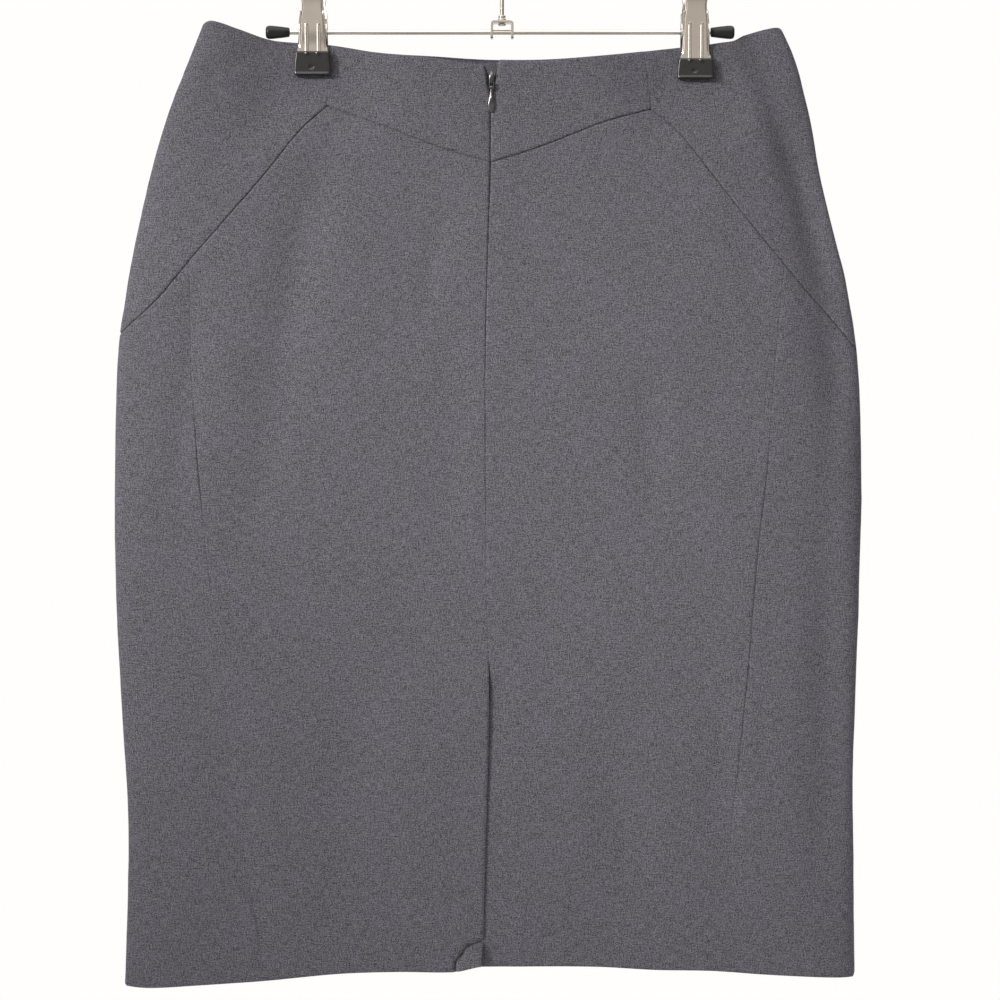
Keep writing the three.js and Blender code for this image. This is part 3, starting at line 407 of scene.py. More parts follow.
def turn_at(x, drop):
    middle, reach, _, _ = ring_at(drop)
    return np.arcsin(np.clip((x - middle) / reach, -1, 1))


def pinch_at(x, drop):
    hold = np.zeros(np.broadcast(x, drop).shape)
    for clip in CLIPS.values():
        aside = np.maximum(0, np.abs(x - clip["x"]) - PINCH["half"]) / PINCH["fade"]
        below = np.maximum(0, drop - clip["foot"]) / PINCH["fade_below"]
        hold = np.maximum(hold, 1 - smoothstep(np.hypot(aside, below), 0, 1))
    return hold


# %% [markdown]
# ## Folds and creases
# Hung by two clips, the cloth slumps into soft diagonal troughs from each clip towards the hips,
# and long shallow ones lower down. A cloth simulation would find its own folds, and these have
# to be where the real ones are, so each is given one by one: its head and foot, how far it bows
# sideways, its width and its depth. The front, which the camera doesn't see, gets similar ones. The
# first seven rows of the back and the first five of the front are close to those in the solids,
# and the finer ones after them are this scene's own. Beyond the right clip nothing holds the end
# of the waist, so it also tips away from the viewer, both layers together.

# %% Tables of folds
FOLD = ("head_x", "head_drop", "foot_x", "foot_drop", "bow", "width", "depth")
BACK_FOLDS = table(FOLD,
    (156, 6, 222, 196, 2, 11, 4.4), (217, 150, 214, 330, -3, 11, 2.4),
    (-102, 44, -150, 245, -4, 15, 2.4), (-131, 160, -172, 360, 3, 15, 1.7),
    (-194, 120, -207, 330, 0, 11, 2.7), (209, 290, 214, 590, 2, 12, 2.0),
    (-184, 430, -150, 600, -3, 11, 1.3),
    (182, 44, 222, 262, 3, 13, 6.5), (206, 250, 206, 606, 0, 13, 3.2), (146, 40, 206, 210, 3, 20, 1.2),
    (-36, 100, -50, 200, -2, 8, 0.9), (80, 100, 94, 172, 2, 8, 0.6), (93, 196, 96, 322, 0, 10, 1.2),
    (-144, 4, -192, 34, 0, 9, 0.9), (-140, 30, -184, 92, 4, 15, 1.3), (-192, 14, -176, 70, 1, 6, 0.6),
    (16, 200, 52, 282, 2, 7, 0.45), (146, 70, 170, 214, -2, 10, 0.9), (-86, 30, -64, 92, 2, 8, 0.4),
    (96, 60, 82, 130, -1, 7, 0.3), (-232, 470, -224, 524, 1, 6, 1.0), (-236, 512, -220, 556, 1, 6, 0.9),
    (-166, 484, -156, 520, 1, 6, 0.8), (-159, 524, -149, 566, -1, 6, 0.9), (62, 410, 78, 596, 4, 17, 1.5),
    (-92, 370, -104, 598, -4, 18, 1.6), (-30, 190, -40, 372, 2, 13, 0.8), (140, 400, 146, 590, -2, 12, 1.3),
    (30, 330, 20, 560, -3, 16, 0.6), (120, 300, 126, 470, 3, 13, 0.6), (-218, 60, -204, 118, 1, 6, 0.6))
FRONT_FOLDS = table(FOLD,
    (-146, 40, -203, 205, 4, 12, 3.0), (128, 44, 158, 215, 5, 13, 2.5),
    (-52, 300, -74, 596, -6, 17, 1.8), (84, 390, 101, 600, 5, 15, 1.5),
    (-198, 260, -190, 480, 4, 13, 1.6),
    (-84, 34, -62, 122, 3, 8, 0.8), (96, 40, 70, 128, -3, 8, 0.8), (176, 60, 198, 170, -2, 9, 1.3),
    (-24, 120, -34, 262, 2, 12, 0.7), (34, 210, 46, 380, -3, 14, 0.7), (150, 280, 144, 452, 3, 12, 0.9),
    (-140, 330, -128, 540, 4, 14, 0.9), (190, 470, 184, 598, -2, 9, 0.9), (-226, 420, -217, 500, 1, 6, 0.8))


# %% How deep the folds are at a place
def fold_depth(folds, x, drop):
    total = np.zeros(np.broadcast(x, drop).shape)
    for i in range(len(folds["depth"])):
        fold = row_of(folds, i)
        share = np.clip((drop - fold["head_drop"]) / (fold["foot_drop"] - fold["head_drop"]), 0, 1)
        line = lerp(fold["head_x"], fold["foot_x"], share) + fold["bow"] * 4 * share * (1 - share)
        total += fold["depth"] * np.sin(np.pi * share) * np.exp(-(((x - line) / fold["width"]) ** 2))
    return total


print("folds on the back and the front:", len(BACK_FOLDS["depth"]), len(FRONT_FOLDS["depth"]))

# %% The tipped end of the waist, and any place on the cloth
TIPPED = {
    "start": 139.0, "full": 163.0, "ease": 167.0, "end": 196.0, "lean": 0.4, "foot": (30.0, 125.0),
    "depth": 6.2,
}


def tipped_at(x, drop):
    across = x - TIPPED["lean"] * np.maximum(drop, 0)
    share = smoothstep(across, TIPPED["start"], TIPPED["full"])
    share = share * (1 - smoothstep(across, TIPPED["ease"], TIPPED["end"]))
    return TIPPED["depth"] * share * (1 - smoothstep(drop, *TIPPED["foot"]))


def cloth_point(turn, drop, lift=0.0):
    middle, reach, depth, power = ring_at(drop)
    sine = np.sin(turn)
    x = middle + reach * sine
    lens = np.sqrt(np.maximum(0, 1 - np.abs(sine) ** power))
    back = np.cos(turn) > 0
    hold = pinch_at(x, drop)
    fold = np.where(back, fold_depth(BACK_FOLDS, x, drop), fold_depth(FRONT_FOLDS, x, drop))
    out = (lerp(depth, PINCHED_DEPTH, hold) - fold * (1 - hold) + lift) * lens
    return np.stack([x, np.where(back, -out, out) + tipped_at(x, drop), BAR_Z - drop], axis=-1)


# %% [markdown]
# ## The pattern pieces
# Seams divide the back into two yokes under the waist, two hip pieces, two centre panels and two
# side panels. Each seam is a short table of places along it. A panel is the patch between four
# edge lines, which is worked out by blending opposite edges (a Coons patch).

# %% Waist and hem lines
WAIST = table(("x", "drop"),
    (-192.0, -5.8), (-185.6, -7.3), (-167.7, -1.5), (-148.5, 4.9), (-129.3, 7.1), (-110.1, 8.7),
    (-81.3, 13.2), (-42.9, 15.9), (-10.9, 18.1), (24.3, 18.3), (62.7, 15.7), (101.1, 11.3),
    (126.7, 8.4), (139.5, 6.4), (148.2, 4.9), (154.6, 1.4), (168.3, -2.8), (176.6, -4.1),
    (180.5, -2.8))
WAIST_YOKE_LEFT = table(("x", "drop"),
    (-129.3, 7.1), (-110.1, 8.7), (-81.3, 13.4), (-42.9, 17.2), (-33.0, 18.8), (-20.0, 21.0),
    (-12.6, 21.6))
WAIST_FRONT = table(("x", "drop"),
    (-192.0, -5.8), (-185.6, -7.3), (-167.7, -1.9), (-148.5, 4.2), (-129.3, 6.2), (-110.1, 7.5),
    (-81.3, 11.6), (-42.9, 13.9), (-10.9, 15.9), (24.3, 16.2), (62.7, 14.2), (101.1, 10.2),
    (126.7, 7.5), (139.5, 6.1), (148.2, 4.8), (154.6, 1.2), (168.3, -3.0), (176.6, -4.1),
    (180.5, -2.8))
HEM_LEFT = table(("x", "drop"),
    (-241.3, 609.7), (-225.3, 610.5), (-193.3, 608.3), (-150.4, 605.2), (-103.7, 600.8),
    (-65.3, 599.4), (-30.0, 599.4), (-12.2, 596.6))
HEM_RIGHT = table(("x", "drop"),
    (-45.4, 596.7), (-7.7, 596.2), (59.5, 596.2), (97.9, 598.2), (135.9, 599.0), (165.1, 601.2),
    (213.1, 603.9), (225.9, 603.9))
HEM_FRONT = table(("x", "drop"),
    (-241.3, 608.6), (-193.3, 606.8), (-103.7, 599.4), (-11.5, 595.0), (97.9, 597.0),
    (165.1, 600.0), (225.9, 602.8))

# %% Hip and yoke seams
HIP_SEAM_LEFT = table(("x", "drop"),
    (-245.1, 193.0), (-220.2, 171.3), (-197.1, 144.4), (-174.1, 118.1), (-151.0, 91.3),
    (-128.0, 62.5), (-111.7, 47.4))
HIP_SEAM_RIGHT = table(("x", "drop"),
    (95.0, 49.7), (111.4, 63.1), (134.4, 91.9), (157.4, 121.3), (188.2, 159.1), (211.2, 184.1),
    (227.5, 203.3))
YOKE_SEAM_LEFT = table(("x", "drop"), (-111.7, 47.4), (-79.4, 59.3), (-38.4, 74.6), (-7.4, 84.2))
YOKE_SEAM_RIGHT = table(("x", "drop"), (-7.4, 84.2), (24.3, 74.0), (65.3, 58.0), (95.0, 49.7))
YOKE_SIDE_LEFT = table(("drop", "x"), (8.6, -110.7), (27.9, -111.4), (47.4, -111.7))
YOKE_SIDE_RIGHT = table(("drop", "x"), (12.6, 90.2), (22.8, 92.2), (33.7, 93.4), (49.7, 95.0))

# %% Long seams, centre back and the lips of the zip
LONG_SEAM_LEFT = table(("drop", "x"),
    (146.6, -199.0), (203.3, -197.8), (267.3, -194.6), (331.3, -188.2), (395.3, -180.5),
    (459.3, -172.8), (523.3, -163.8), (606.3, -150.4))
LONG_SEAM_RIGHT = table(("drop", "x"),
    (148.9, 179.8), (209.7, 174.1), (273.7, 169.0), (337.7, 161.9), (401.7, 156.8),
    (465.7, 150.4), (529.7, 144.0), (600.2, 135.9))
CENTRE_BACK = table(("drop", "x"),
    (36.9, -7.4), (84.2, -7.4), (132.9, -9.0), (196.9, -10.2), (248.1, -10.9), (324.9, -10.2),
    (388.9, -9.0), (420.9, -8.3), (468.9, -9.0), (510.5, -10.2), (555.3, -11.5), (600.7, -12.2))
LIP_LEFT = table(("drop", "x"),
    (21.6, -12.6), (23.8, -11.2), (28.5, -9.7), (34.0, -9.1), (41.0, -7.5), (60.0, -7.4), (84.2, -7.4))
LIP_RIGHT = table(("drop", "x"),
    (18.4, -1.6), (25.3, -2.9), (33.0, -4.4), (41.0, -7.2), (60.0, -7.4), (84.2, -7.4))

# %% [markdown]
# An edge line takes shares from 0 to 1 and gives a turn and a drop for each: across from corner
# to corner along a table, down along one, or down a side fold. Across, the drop depends on x and x
# depends on the drop, because the skirt widens downwards, so the two are worked out in rounds.

# %% Edge lines and the patch between them
ROUNDS = 12


def across(rows, from_turn, to_turn):
    def line(share):
        turn = lerp(from_turn, to_turn, share)
        drop = np.full(np.shape(share), rows["drop"][0])
        for _ in range(ROUNDS):
            middle, reach, _, _ = ring_at(drop)
            drop = read(rows, "x", "drop", middle + reach * np.sin(turn))
        return np.stack([turn, drop])
    return line


def down(x_at, from_drop, to_drop):
    def line(share):
        drop = lerp(from_drop, to_drop, share)
        return np.stack([turn_at(x_at(drop), drop), drop])
    return line


def side_edge(turn, from_drop, to_drop):
    return lambda share: np.stack([np.full(np.shape(share), turn), lerp(from_drop, to_drop, share)])


def joined(first, second, at):
    def line(share):
        early = first(np.clip(share / at, 0, 1))
        late = second(np.clip((share - at) / (1 - at), 0, 1))
        return np.where(share < at, early, late)
    return line


def between(edges, us, vs):
    top, foot = edges["top"](us)[:, None, :], edges["foot"](us)[:, None, :]
    left, right = edges["left"](vs)[:, :, None], edges["right"](vs)[:, :, None]
    u, v = us[None, None, :], vs[None, :, None]
    ends = np.array([0.0, 1.0])
    top_ends, foot_ends = edges["top"](ends), edges["foot"](ends)
    corners = [lerp(line[:, :1, None], line[:, 1:, None], u) for line in (top_ends, foot_ends)]
    return lerp(top, foot, v) + lerp(left, right, u) - lerp(corners[0], corners[1], v)


def x_of(rows):
    return lambda drop: read(rows, "drop", "x", drop)


def corner_on(rows, x):
    return x, float(read(rows, "x", "drop", x))


def turn_of(corner):
    return float(turn_at(corner[0], corner[1]))


# %% [markdown]
# ## What a seam does to cloth
# At a seam the two panels turn inwards and meet in a narrow valley. Inside, each panel's seam
# allowance is pressed flat and shows as a faint ridge along the seam, and the stitching gathers
# the cloth a little, which shows as small uneven puckers. A hem or waist edge rolls over instead.
# All of this is a small move of the surface along its own direction outwards, and depends only on
# the distance to each edge. Each kind of edge is one row: how deep it dives and over what width,
# how wide the allowance is and how far it raises the cloth, how strongly it puckers, and how
# uneven the valley is from stitch to stitch.

# %% Kinds of edge
EDGE_COLUMNS = ("dive", "width", "allowance", "ridge", "pucker", "uneven")
EDGE_ROWS = {
    "seam": (2.0, 0.5, 11.0, 0.2, 0.36, 0.7),
    "stitched": (1.2, 0.42, 15.0, 0.2, 0.2, 0.5),
    "flush": (0.22, 0.42, 11.0, 0.2, 0.3, 0.6),
    "side": (0.5, 0.8, 12.0, 0.0, 0.3, 0.0),
    "zip": (2.8, 0.52, 15.0, 0.2, 0.16, 0.3),
    "rolled": (0.8, 0.9, 34.0, 0.14, 0.24, 0.0),
}
EDGE_KINDS = {kind: dict(zip(EDGE_COLUMNS, row)) for kind, row in EDGE_ROWS.items()}
# Down the centre back the edge changes: each kind holds from its drop on
CENTRE_EDGE = (("zip", 0.0), ("stitched", 112.0), ("flush", 215.0), ("rolled", 408.0))
EDGE_CHANGE = 12.0
EDGE_MARKS = np.array([0.0, 0.25, 0.5, 0.85, 1.5, 2.6, 4.2])
RIDGE_EASE = (2.5, 1.0)
PUCKER = {"reach": 8.0, "length": 10.0, "stitch": 4.0, "from": 2.0}
SAG = {"wide": (46.0, 75.0, 0.75), "fine": (17.0, 24.0, 0.2)}


# %% Distances to the edges
def lengths_along(points, axis):
    steps = np.linalg.norm(np.diff(points, axis=axis), axis=-1)
    start = np.zeros_like(np.take(steps, [0], axis=axis))
    return np.concatenate([start, np.cumsum(steps, axis=axis)], axis=axis)


def squareness(tangent, inward):
    crossed = np.linalg.norm(np.cross(tangent, inward), axis=-1)
    return crossed / (np.linalg.norm(tangent, axis=-1) * np.linalg.norm(inward, axis=-1) + 1e-9)


def edge_distances(points):
    across_row, down_column = lengths_along(points, 1), lengths_along(points, 0)
    rows, columns = np.gradient(points, axis=0), np.gradient(points, axis=1)
    return {
        "left": (across_row * squareness(rows[:, 0], columns[:, 0])[:, None], down_column),
        "right": ((across_row[:, -1:] - across_row) * squareness(rows[:, -1], columns[:, -1])[:, None],
                  down_column),
        "top": (down_column * squareness(columns[0], rows[0])[None, :], across_row),
        "foot": ((down_column[-1:] - down_column) * squareness(columns[-1], rows[-1])[None, :],
                 across_row),
    }


# %% Relief along an edge, and the cloth's own sag
def noise_along(along, length, seed):
    values = [noise.noise(Vector((place / length, seed, 0))) for place in along.ravel()]
    return np.array(values).reshape(along.shape)


def edge_relief(kind, distance, along, seed):
    rule = EDGE_KINDS[kind]
    dive = rule["dive"] * (1 + rule["uneven"] * noise_along(along, PUCKER["stitch"], seed + 5))
    relief = -dive * np.exp(-((distance / rule["width"]) ** 2))
    start, end = rule["allowance"] - RIDGE_EASE[0], rule["allowance"] + RIDGE_EASE[1]
    relief += rule["ridge"] * (1 - smoothstep(distance, start, end))
    gathers = noise_along(along, PUCKER["length"], seed)
    fade = np.exp(-((distance / PUCKER["reach"]) ** 2)) * smoothstep(distance, 0.0, PUCKER["from"])
    return relief + rule["pucker"] * gathers * fade


def changing_relief(zones, drop, distance, along, seed):
    relief = edge_relief(zones[0][0], distance, along, seed)
    for kind, start in zones[1:]:
        share = smoothstep(drop, start - EDGE_CHANGE, start + EDGE_CHANGE)
        relief = lerp(relief, edge_relief(kind, distance, along, seed), share)
    return relief


def sagging(points, seed):
    total = np.zeros(points.shape[:2])
    for wide, tall, height in SAG.values():
        scaled = np.stack([points[..., 0] / wide, points[..., 2] / tall], axis=-1).reshape(-1, 2)
        values = [noise.noise(Vector((x, z, seed))) for x, z in scaled]
        total += height * np.array(values).reshape(total.shape)
    return total


# %% [markdown]
# ## From patch to cloth
# Each panel starts as a flat bmesh grid. Its rows and columns lie close together along the edges,
# where the cloth turns in, and a few millimetres apart elsewhere. The grid's points are moved on
# to the patch, and the flat map records for each point how far round the tube and how far down it
# lies, in metres. How far round is read from one middle section, scaled to each section's width.
# A Solidify modifier then gives the sheet its thickness.

# %% Spacing of the points, and lengths round the tube
CLOTH_THICKNESS = 0.9
FINEST = 0.9
TRACE_POINTS = 600
SPACING = {"back": 2.6, "front": 3.6}
FINE_STRIP = {"back_centre_left": 38.0}
ARC_TURNS = np.linspace(-HALF_TURN, 3 * HALF_TURN, 4001)
ARC_DROP = 300.0


def arc_table():
    _, reach, depth, power = ring_at(ARC_DROP)
    sine = np.sin(ARC_TURNS)
    lens = np.sqrt(np.maximum(0, 1 - np.abs(sine) ** power))
    ring = np.stack([reach * sine, np.sign(np.cos(ARC_TURNS)) * depth * lens], axis=-1)
    steps = np.linalg.norm(np.diff(ring, axis=0), axis=1)
    lengths = np.concatenate([[0], np.cumsum(steps)])
    return (lengths - np.interp(0.0, ARC_TURNS, lengths)) / float(reach)


ARC_SHARES = arc_table()


# %% Rows and columns, and the way outwards
def stations(points, spacing, finer):
    along = lengths_along(points, 0)
    near, far = EDGE_MARKS[-1], along[-1] - EDGE_MARKS[-1]
    start = far - finer
    middle = np.linspace(near, start, max(2, round((start - near) / spacing)) + 1)
    last = np.linspace(start, far, round(finer / FINEST) + 1)[1:]
    marks = np.concatenate([EDGE_MARKS[:-1], middle, last, along[-1] - EDGE_MARKS[-2::-1]])
    return np.interp(marks, along, np.linspace(0, 1, len(points)))


def outwards(points, front):
    normals = np.cross(np.gradient(points, axis=1), np.gradient(points, axis=0))
    normals /= np.linalg.norm(normals, axis=-1, keepdims=True) + 1e-12
    wanted = 1 if front else -1
    return normals * (1 if normals[..., 1].mean() * wanted > 0 else -1)


# %% From points to a finished piece
def grid_form(points, flat, front):
    tall, wide = points.shape[:2]
    form = bmesh.new()
    bmesh.ops.create_grid(form, x_segments=wide - 1, y_segments=tall - 1, size=1.0)
    uv_layer = form.loops.layers.uv.new("weave")
    places = {}
    for vertex in form.verts:
        column = round((vertex.co.x + 1) / 2 * (wide - 1))
        row = round((1 - vertex.co.y) / 2 * (tall - 1))
        places[vertex] = (row, column)
        vertex.co = points[row, column]
    for face in form.faces:
        for loop in face.loops:
            loop[uv_layer].uv = flat[places[loop.vert]]
    form.normal_update()
    facing = sum(face.normal.y * face.calc_area() for face in form.faces)
    if (facing > 0) != front:
        bmesh.ops.reverse_faces(form, faces=form.faces)
    return form


def finish_piece(name, form, finish, replaces=(), body="skirt", sharp=38.0):
    bmesh.ops.scale(form, vec=(MM, MM, MM), verts=form.verts)
    mesh = bpy.data.meshes.new(name)
    form.to_mesh(mesh)
    form.free()
    mesh.shade_smooth()
    mesh.set_sharp_from_angle(angle=math.radians(sharp))
    mesh.materials.append(finish)
    piece = bpy.data.objects.new(name, mesh)
    bpy.context.scene.collection.objects.link(piece)
    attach(piece, body)
    if replaces:
        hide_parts(*replaces)
    return piece


def add_wall(piece, thickness):
    wall = piece.modifiers.new("wall", "SOLIDIFY")
    wall.thickness = thickness * MM
    wall.offset = 0.0


# %% One panel
def patch_grid(edges, shape, spacing, finer=0.0):
    fine = np.linspace(0, 1, TRACE_POINTS)
    half = np.array([0.5])
    row = shape(*between(edges, fine, half))[0]
    column = shape(*between(edges, half, fine))[:, 0]
    us, vs = stations(row, spacing, finer), stations(column, spacing, finer)
    turn, drop = between(edges, us, vs)
    return turn, drop, shape(turn, drop)


def flat_map(turn, drop):
    middle, reach, _, _ = ring_at(drop)
    centre, side = (math.pi, -1) if turn.mean() > HALF_TURN else (0.0, 1)
    shares = np.interp(turn, ARC_TURNS, ARC_SHARES) - np.interp(centre, ARC_TURNS, ARC_SHARES)
    return np.stack([side * middle + reach * shares, -drop], axis=-1) * MM


def add_panel(name, edges, kinds, seed, shape, front):
    spacing = SPACING["front" if front else "back"]
    turn, drop, points = patch_grid(edges, shape, spacing, FINE_STRIP.get(name, 0.0))
    hold = pinch_at(points[..., 0], drop)
    relief = sagging(points, seed) * (1 - hold)
    for i, (edge, (distance, along)) in enumerate(edge_distances(points).items()):
        zones = CENTRE_EDGE if kinds[edge] == "centre" else ((kinds[edge], 0.0),)
        relief += changing_relief(zones, drop, distance, along, seed + 10 * i)
    points = points + outwards(points, front) * relief[..., None]
    flat = flat_map(turn, drop)
    form = grid_form(points, flat, front)
    area = sum(face.calc_area() for face in form.faces) * MM * MM
    extent = np.ptp(flat.reshape(-1, 2), axis=0)
    piece = finish_piece(name + "_cloth", form, cloth_finish, [name], sharp=80.0)
    add_wall(piece, CLOTH_THICKNESS)
    print(f"{name}: {points.shape[1]} by {points.shape[0]} points, {extent.round(3)} m, {area:.4f} m2")
    return piece


# %% [markdown]
# The vent is a slit under the centre back seam. On its left the centre panel ends in a flap that
# stands a little proud, and its lower corner is turned towards the viewer over a slanted crease.
# On its right the other centre panel goes on beneath the flap as an underlap. Both are the same
# surface as the rest, moved out or in. The corner is rolled round a cylinder whose axis is the
# crease, and an uneven valley is pressed along that line.

# %% Sizes of the vent and its turned corner
VENT = {
    "ramp_top": 398.0, "ramp_foot": 424.0, "lift": 1.3, "sink": 1.1,
    "slant_top": 425.0, "slant_foot": 450.0, "underlap_x": -45.4,
    "flap_in": -100.0, "flap_out": -40.0, "sink_in": -2.0, "sink_out": 12.0,
}
TURNED_CORNER = {
    "crease_x": -11.5, "crease_drop": 579.6, "across_x": 0.756, "across_drop": 0.656,
    "length": 28.0, "bow": 5.0, "radius": 3.2, "angle": math.radians(21), "drawn_in": 0.07,
    "valley": 2.7, "valley_at": -0.3, "valley_width": 1.7, "waver": 0.7, "waver_pace": 14.0,
    "uneven": 0.35, "uneven_pace": 23.0,
}


def vent_start(drop):
    return smoothstep(drop, VENT["ramp_top"], VENT["ramp_foot"])


# %% Flap and underlap
def flap_shape(turn, drop):
    corner = TURNED_CORNER
    x = cloth_point(turn, drop)[..., 0]
    lift = VENT["lift"] * vent_start(drop) * smoothstep(x, VENT["flap_in"], VENT["flap_out"])
    past = (x - corner["crease_x"]) * corner["across_x"]
    past = past + (drop - corner["crease_drop"]) * corner["across_drop"]
    share = (drop - corner["crease_drop"]) * corner["across_x"]
    share = (share - (x - corner["crease_x"]) * corner["across_drop"]) / corner["length"]
    past = past + corner["bow"] * 4 * share * (1 - share)
    waver = corner["waver"] * np.sin(corner["waver_pace"] * share)
    dent = np.exp(-(((past - corner["valley_at"] - waver) / corner["valley_width"]) ** 2))
    dent = dent * (1 + corner["uneven"] * np.sin(corner["uneven_pace"] * share + 1.0))
    points = cloth_point(turn, drop, lift - corner["valley"] * dent)
    radius = corner["radius"]
    bend = np.clip(past / radius, 0, corner["angle"])
    straight = np.maximum(past, 0) - bend * radius
    shift = radius * np.sin(bend) + straight * (np.cos(bend) - corner["drawn_in"]) - np.maximum(past, 0)
    points[..., 0] += shift * corner["across_x"]
    points[..., 2] -= shift * corner["across_drop"]
    points[..., 1] -= radius * (1 - np.cos(bend)) + straight * np.sin(bend)
    return points


def underlap_shape(turn, drop):
    x = cloth_point(turn, drop)[..., 0]
    under = 1 - smoothstep(x, VENT["sink_in"], VENT["sink_out"])
    return cloth_point(turn, drop, -VENT["sink"] * vent_start(drop) * under)


def underlap_edge(drop):
    slant = np.clip((drop - VENT["slant_top"]) / (VENT["slant_foot"] - VENT["slant_top"]), 0, 1)
    start = read(CENTRE_BACK, "drop", "x", np.minimum(drop, VENT["slant_top"]))
    return lerp(start, VENT["underlap_x"], slant)


# %% [markdown]
# Now the nine panels. Their corners are shared, so neighbours meet along the whole seam. Each panel
# then gets a kind for each of its four edges, and the two at the vent their own shape.

# %% Shared corners
peak_left, peak_right, centre_foot = (-111.7, 47.4), (95.0, 49.7), (-7.4, 84.2)
waist_left, waist_right = (-110.7, 8.6), (90.2, 12.6)
lip_top_left, lip_top_right = (-12.6, 21.6), (-1.6, 18.4)
long_top_left = corner_on(HIP_SEAM_LEFT, -199.0)
long_top_right = corner_on(HIP_SEAM_RIGHT, 179.8)
hem_left = corner_on(HEM_LEFT, -150.4)
hem_right = corner_on(HEM_RIGHT, 135.9)
hem_flap = corner_on(HEM_LEFT, -12.2)
hem_underlap = corner_on(HEM_RIGHT, VENT["underlap_x"])

# %% Edges of each panel
PANELS = {
    "back_yoke_left": dict(
        top=across(WAIST_YOKE_LEFT, turn_of(waist_left), turn_of(lip_top_left)),
        foot=across(YOKE_SEAM_LEFT, turn_of(peak_left), turn_of(centre_foot)),
        left=down(x_of(YOKE_SIDE_LEFT), waist_left[1], peak_left[1]),
        right=down(x_of(LIP_LEFT), lip_top_left[1], centre_foot[1])),
    "back_yoke_right": dict(
        top=across(WAIST, turn_of(lip_top_right), turn_of(waist_right)),
        foot=across(YOKE_SEAM_RIGHT, turn_of(centre_foot), turn_of(peak_right)),
        left=down(x_of(LIP_RIGHT), lip_top_right[1], centre_foot[1]),
        right=down(x_of(YOKE_SIDE_RIGHT), waist_right[1], peak_right[1])),
    "back_hip_left": dict(
        top=across(WAIST, -HALF_TURN, turn_of(waist_left)),
        foot=across(HIP_SEAM_LEFT, -HALF_TURN, turn_of(peak_left)),
        left=side_edge(-HALF_TURN, WAIST["drop"][0], HIP_SEAM_LEFT["drop"][0]),
        right=down(x_of(YOKE_SIDE_LEFT), waist_left[1], peak_left[1])),
    "back_hip_right": dict(
        top=across(WAIST, turn_of(waist_right), HALF_TURN),
        foot=across(HIP_SEAM_RIGHT, turn_of(peak_right), HALF_TURN),
        left=down(x_of(YOKE_SIDE_RIGHT), waist_right[1], peak_right[1]),
        right=side_edge(HALF_TURN, WAIST["drop"][-1], HIP_SEAM_RIGHT["drop"][-1])),
    "back_centre_left": dict(
        top=joined(across(HIP_SEAM_LEFT, turn_of(long_top_left), turn_of(peak_left)),
                   across(YOKE_SEAM_LEFT, turn_of(peak_left), turn_of(centre_foot)), 0.5),
        foot=across(HEM_LEFT, turn_of(hem_left), turn_of(hem_flap)),
        left=down(x_of(LONG_SEAM_LEFT), long_top_left[1], hem_left[1]),
        right=down(x_of(CENTRE_BACK), centre_foot[1], hem_flap[1])),
    "back_centre_right": dict(
        top=joined(across(YOKE_SEAM_RIGHT, turn_of(centre_foot), turn_of(peak_right)),
                   across(HIP_SEAM_RIGHT, turn_of(peak_right), turn_of(long_top_right)), 0.5),
        foot=across(HEM_RIGHT, turn_of(hem_underlap), turn_of(hem_right)),
        left=down(underlap_edge, centre_foot[1], hem_underlap[1]),
        right=down(x_of(LONG_SEAM_RIGHT), long_top_right[1], hem_right[1])),
    "back_side_left": dict(
        top=across(HIP_SEAM_LEFT, -HALF_TURN, turn_of(long_top_left)),
        foot=across(HEM_LEFT, -HALF_TURN, turn_of(hem_left)),
        left=side_edge(-HALF_TURN, HIP_SEAM_LEFT["drop"][0], HEM_LEFT["drop"][0]),
        right=down(x_of(LONG_SEAM_LEFT), long_top_left[1], hem_left[1])),
    "back_side_right": dict(
        top=across(HIP_SEAM_RIGHT, turn_of(long_top_right), HALF_TURN),
        foot=across(HEM_RIGHT, turn_of(hem_right), HALF_TURN),
        left=down(x_of(LONG_SEAM_RIGHT), long_top_right[1], hem_right[1]),
        right=side_edge(HALF_TURN, HIP_SEAM_RIGHT["drop"][-1], HEM_RIGHT["drop"][-1])),
    "front": dict(
        top=across(WAIST_FRONT, HALF_TURN, 3 * HALF_TURN),
        foot=across(HEM_FRONT, HALF_TURN, 3 * HALF_TURN),
        left=side_edge(HALF_TURN, WAIST["drop"][-1], HEM_FRONT["drop"][-1]),
        right=side_edge(3 * HALF_TURN, WAIST["drop"][0], HEM_FRONT["drop"][0])),
}

# %% Kinds of the edges, and cutting the panels
PANEL_EDGES = {
    "back_yoke_left": ("rolled", "seam", "flush", "zip"),
    "back_yoke_right": ("rolled", "seam", "zip", "flush"),
    "back_hip_left": ("rolled", "seam", "side", "flush"),
    "back_hip_right": ("rolled", "seam", "flush", "side"),
    "back_centre_left": ("seam", "rolled", "flush", "centre"),
    "back_centre_right": ("seam", "rolled", "centre", "flush"),
    "back_side_left": ("seam", "rolled", "side", "flush"),
    "back_side_right": ("seam", "rolled", "flush", "side"),
    "front": ("rolled", "rolled", "side", "side"),
}
SHAPES = {"back_centre_left": flap_shape, "back_centre_right": underlap_shape}

for number, (name, edges) in enumerate(PANELS.items()):
    kinds = dict(zip(("top", "foot", "left", "right"), PANEL_EDGES[name]))
    shape = SHAPES.get(name, cloth_point)
    add_panel(name, edges, kinds, number + 0.5, shape, name == "front")

# %% [markdown]
# ## The zip
# The zip is a concealed one: two tapes are sewn inside the centre back, each with a nylon coil
# along its inner edge. Below the slider the coils are locked together, and above it they part
# with the cloth's lips, where a narrow strip of tape and teeth shows past each lip. The tapes are
# made as the panels are, from the points of the cloth moved in, a little further at the top to
# leave space for the slider. One tooth is a small stretched ball, made again and again down both
# tapes, half a step later on the right so that they mesh.

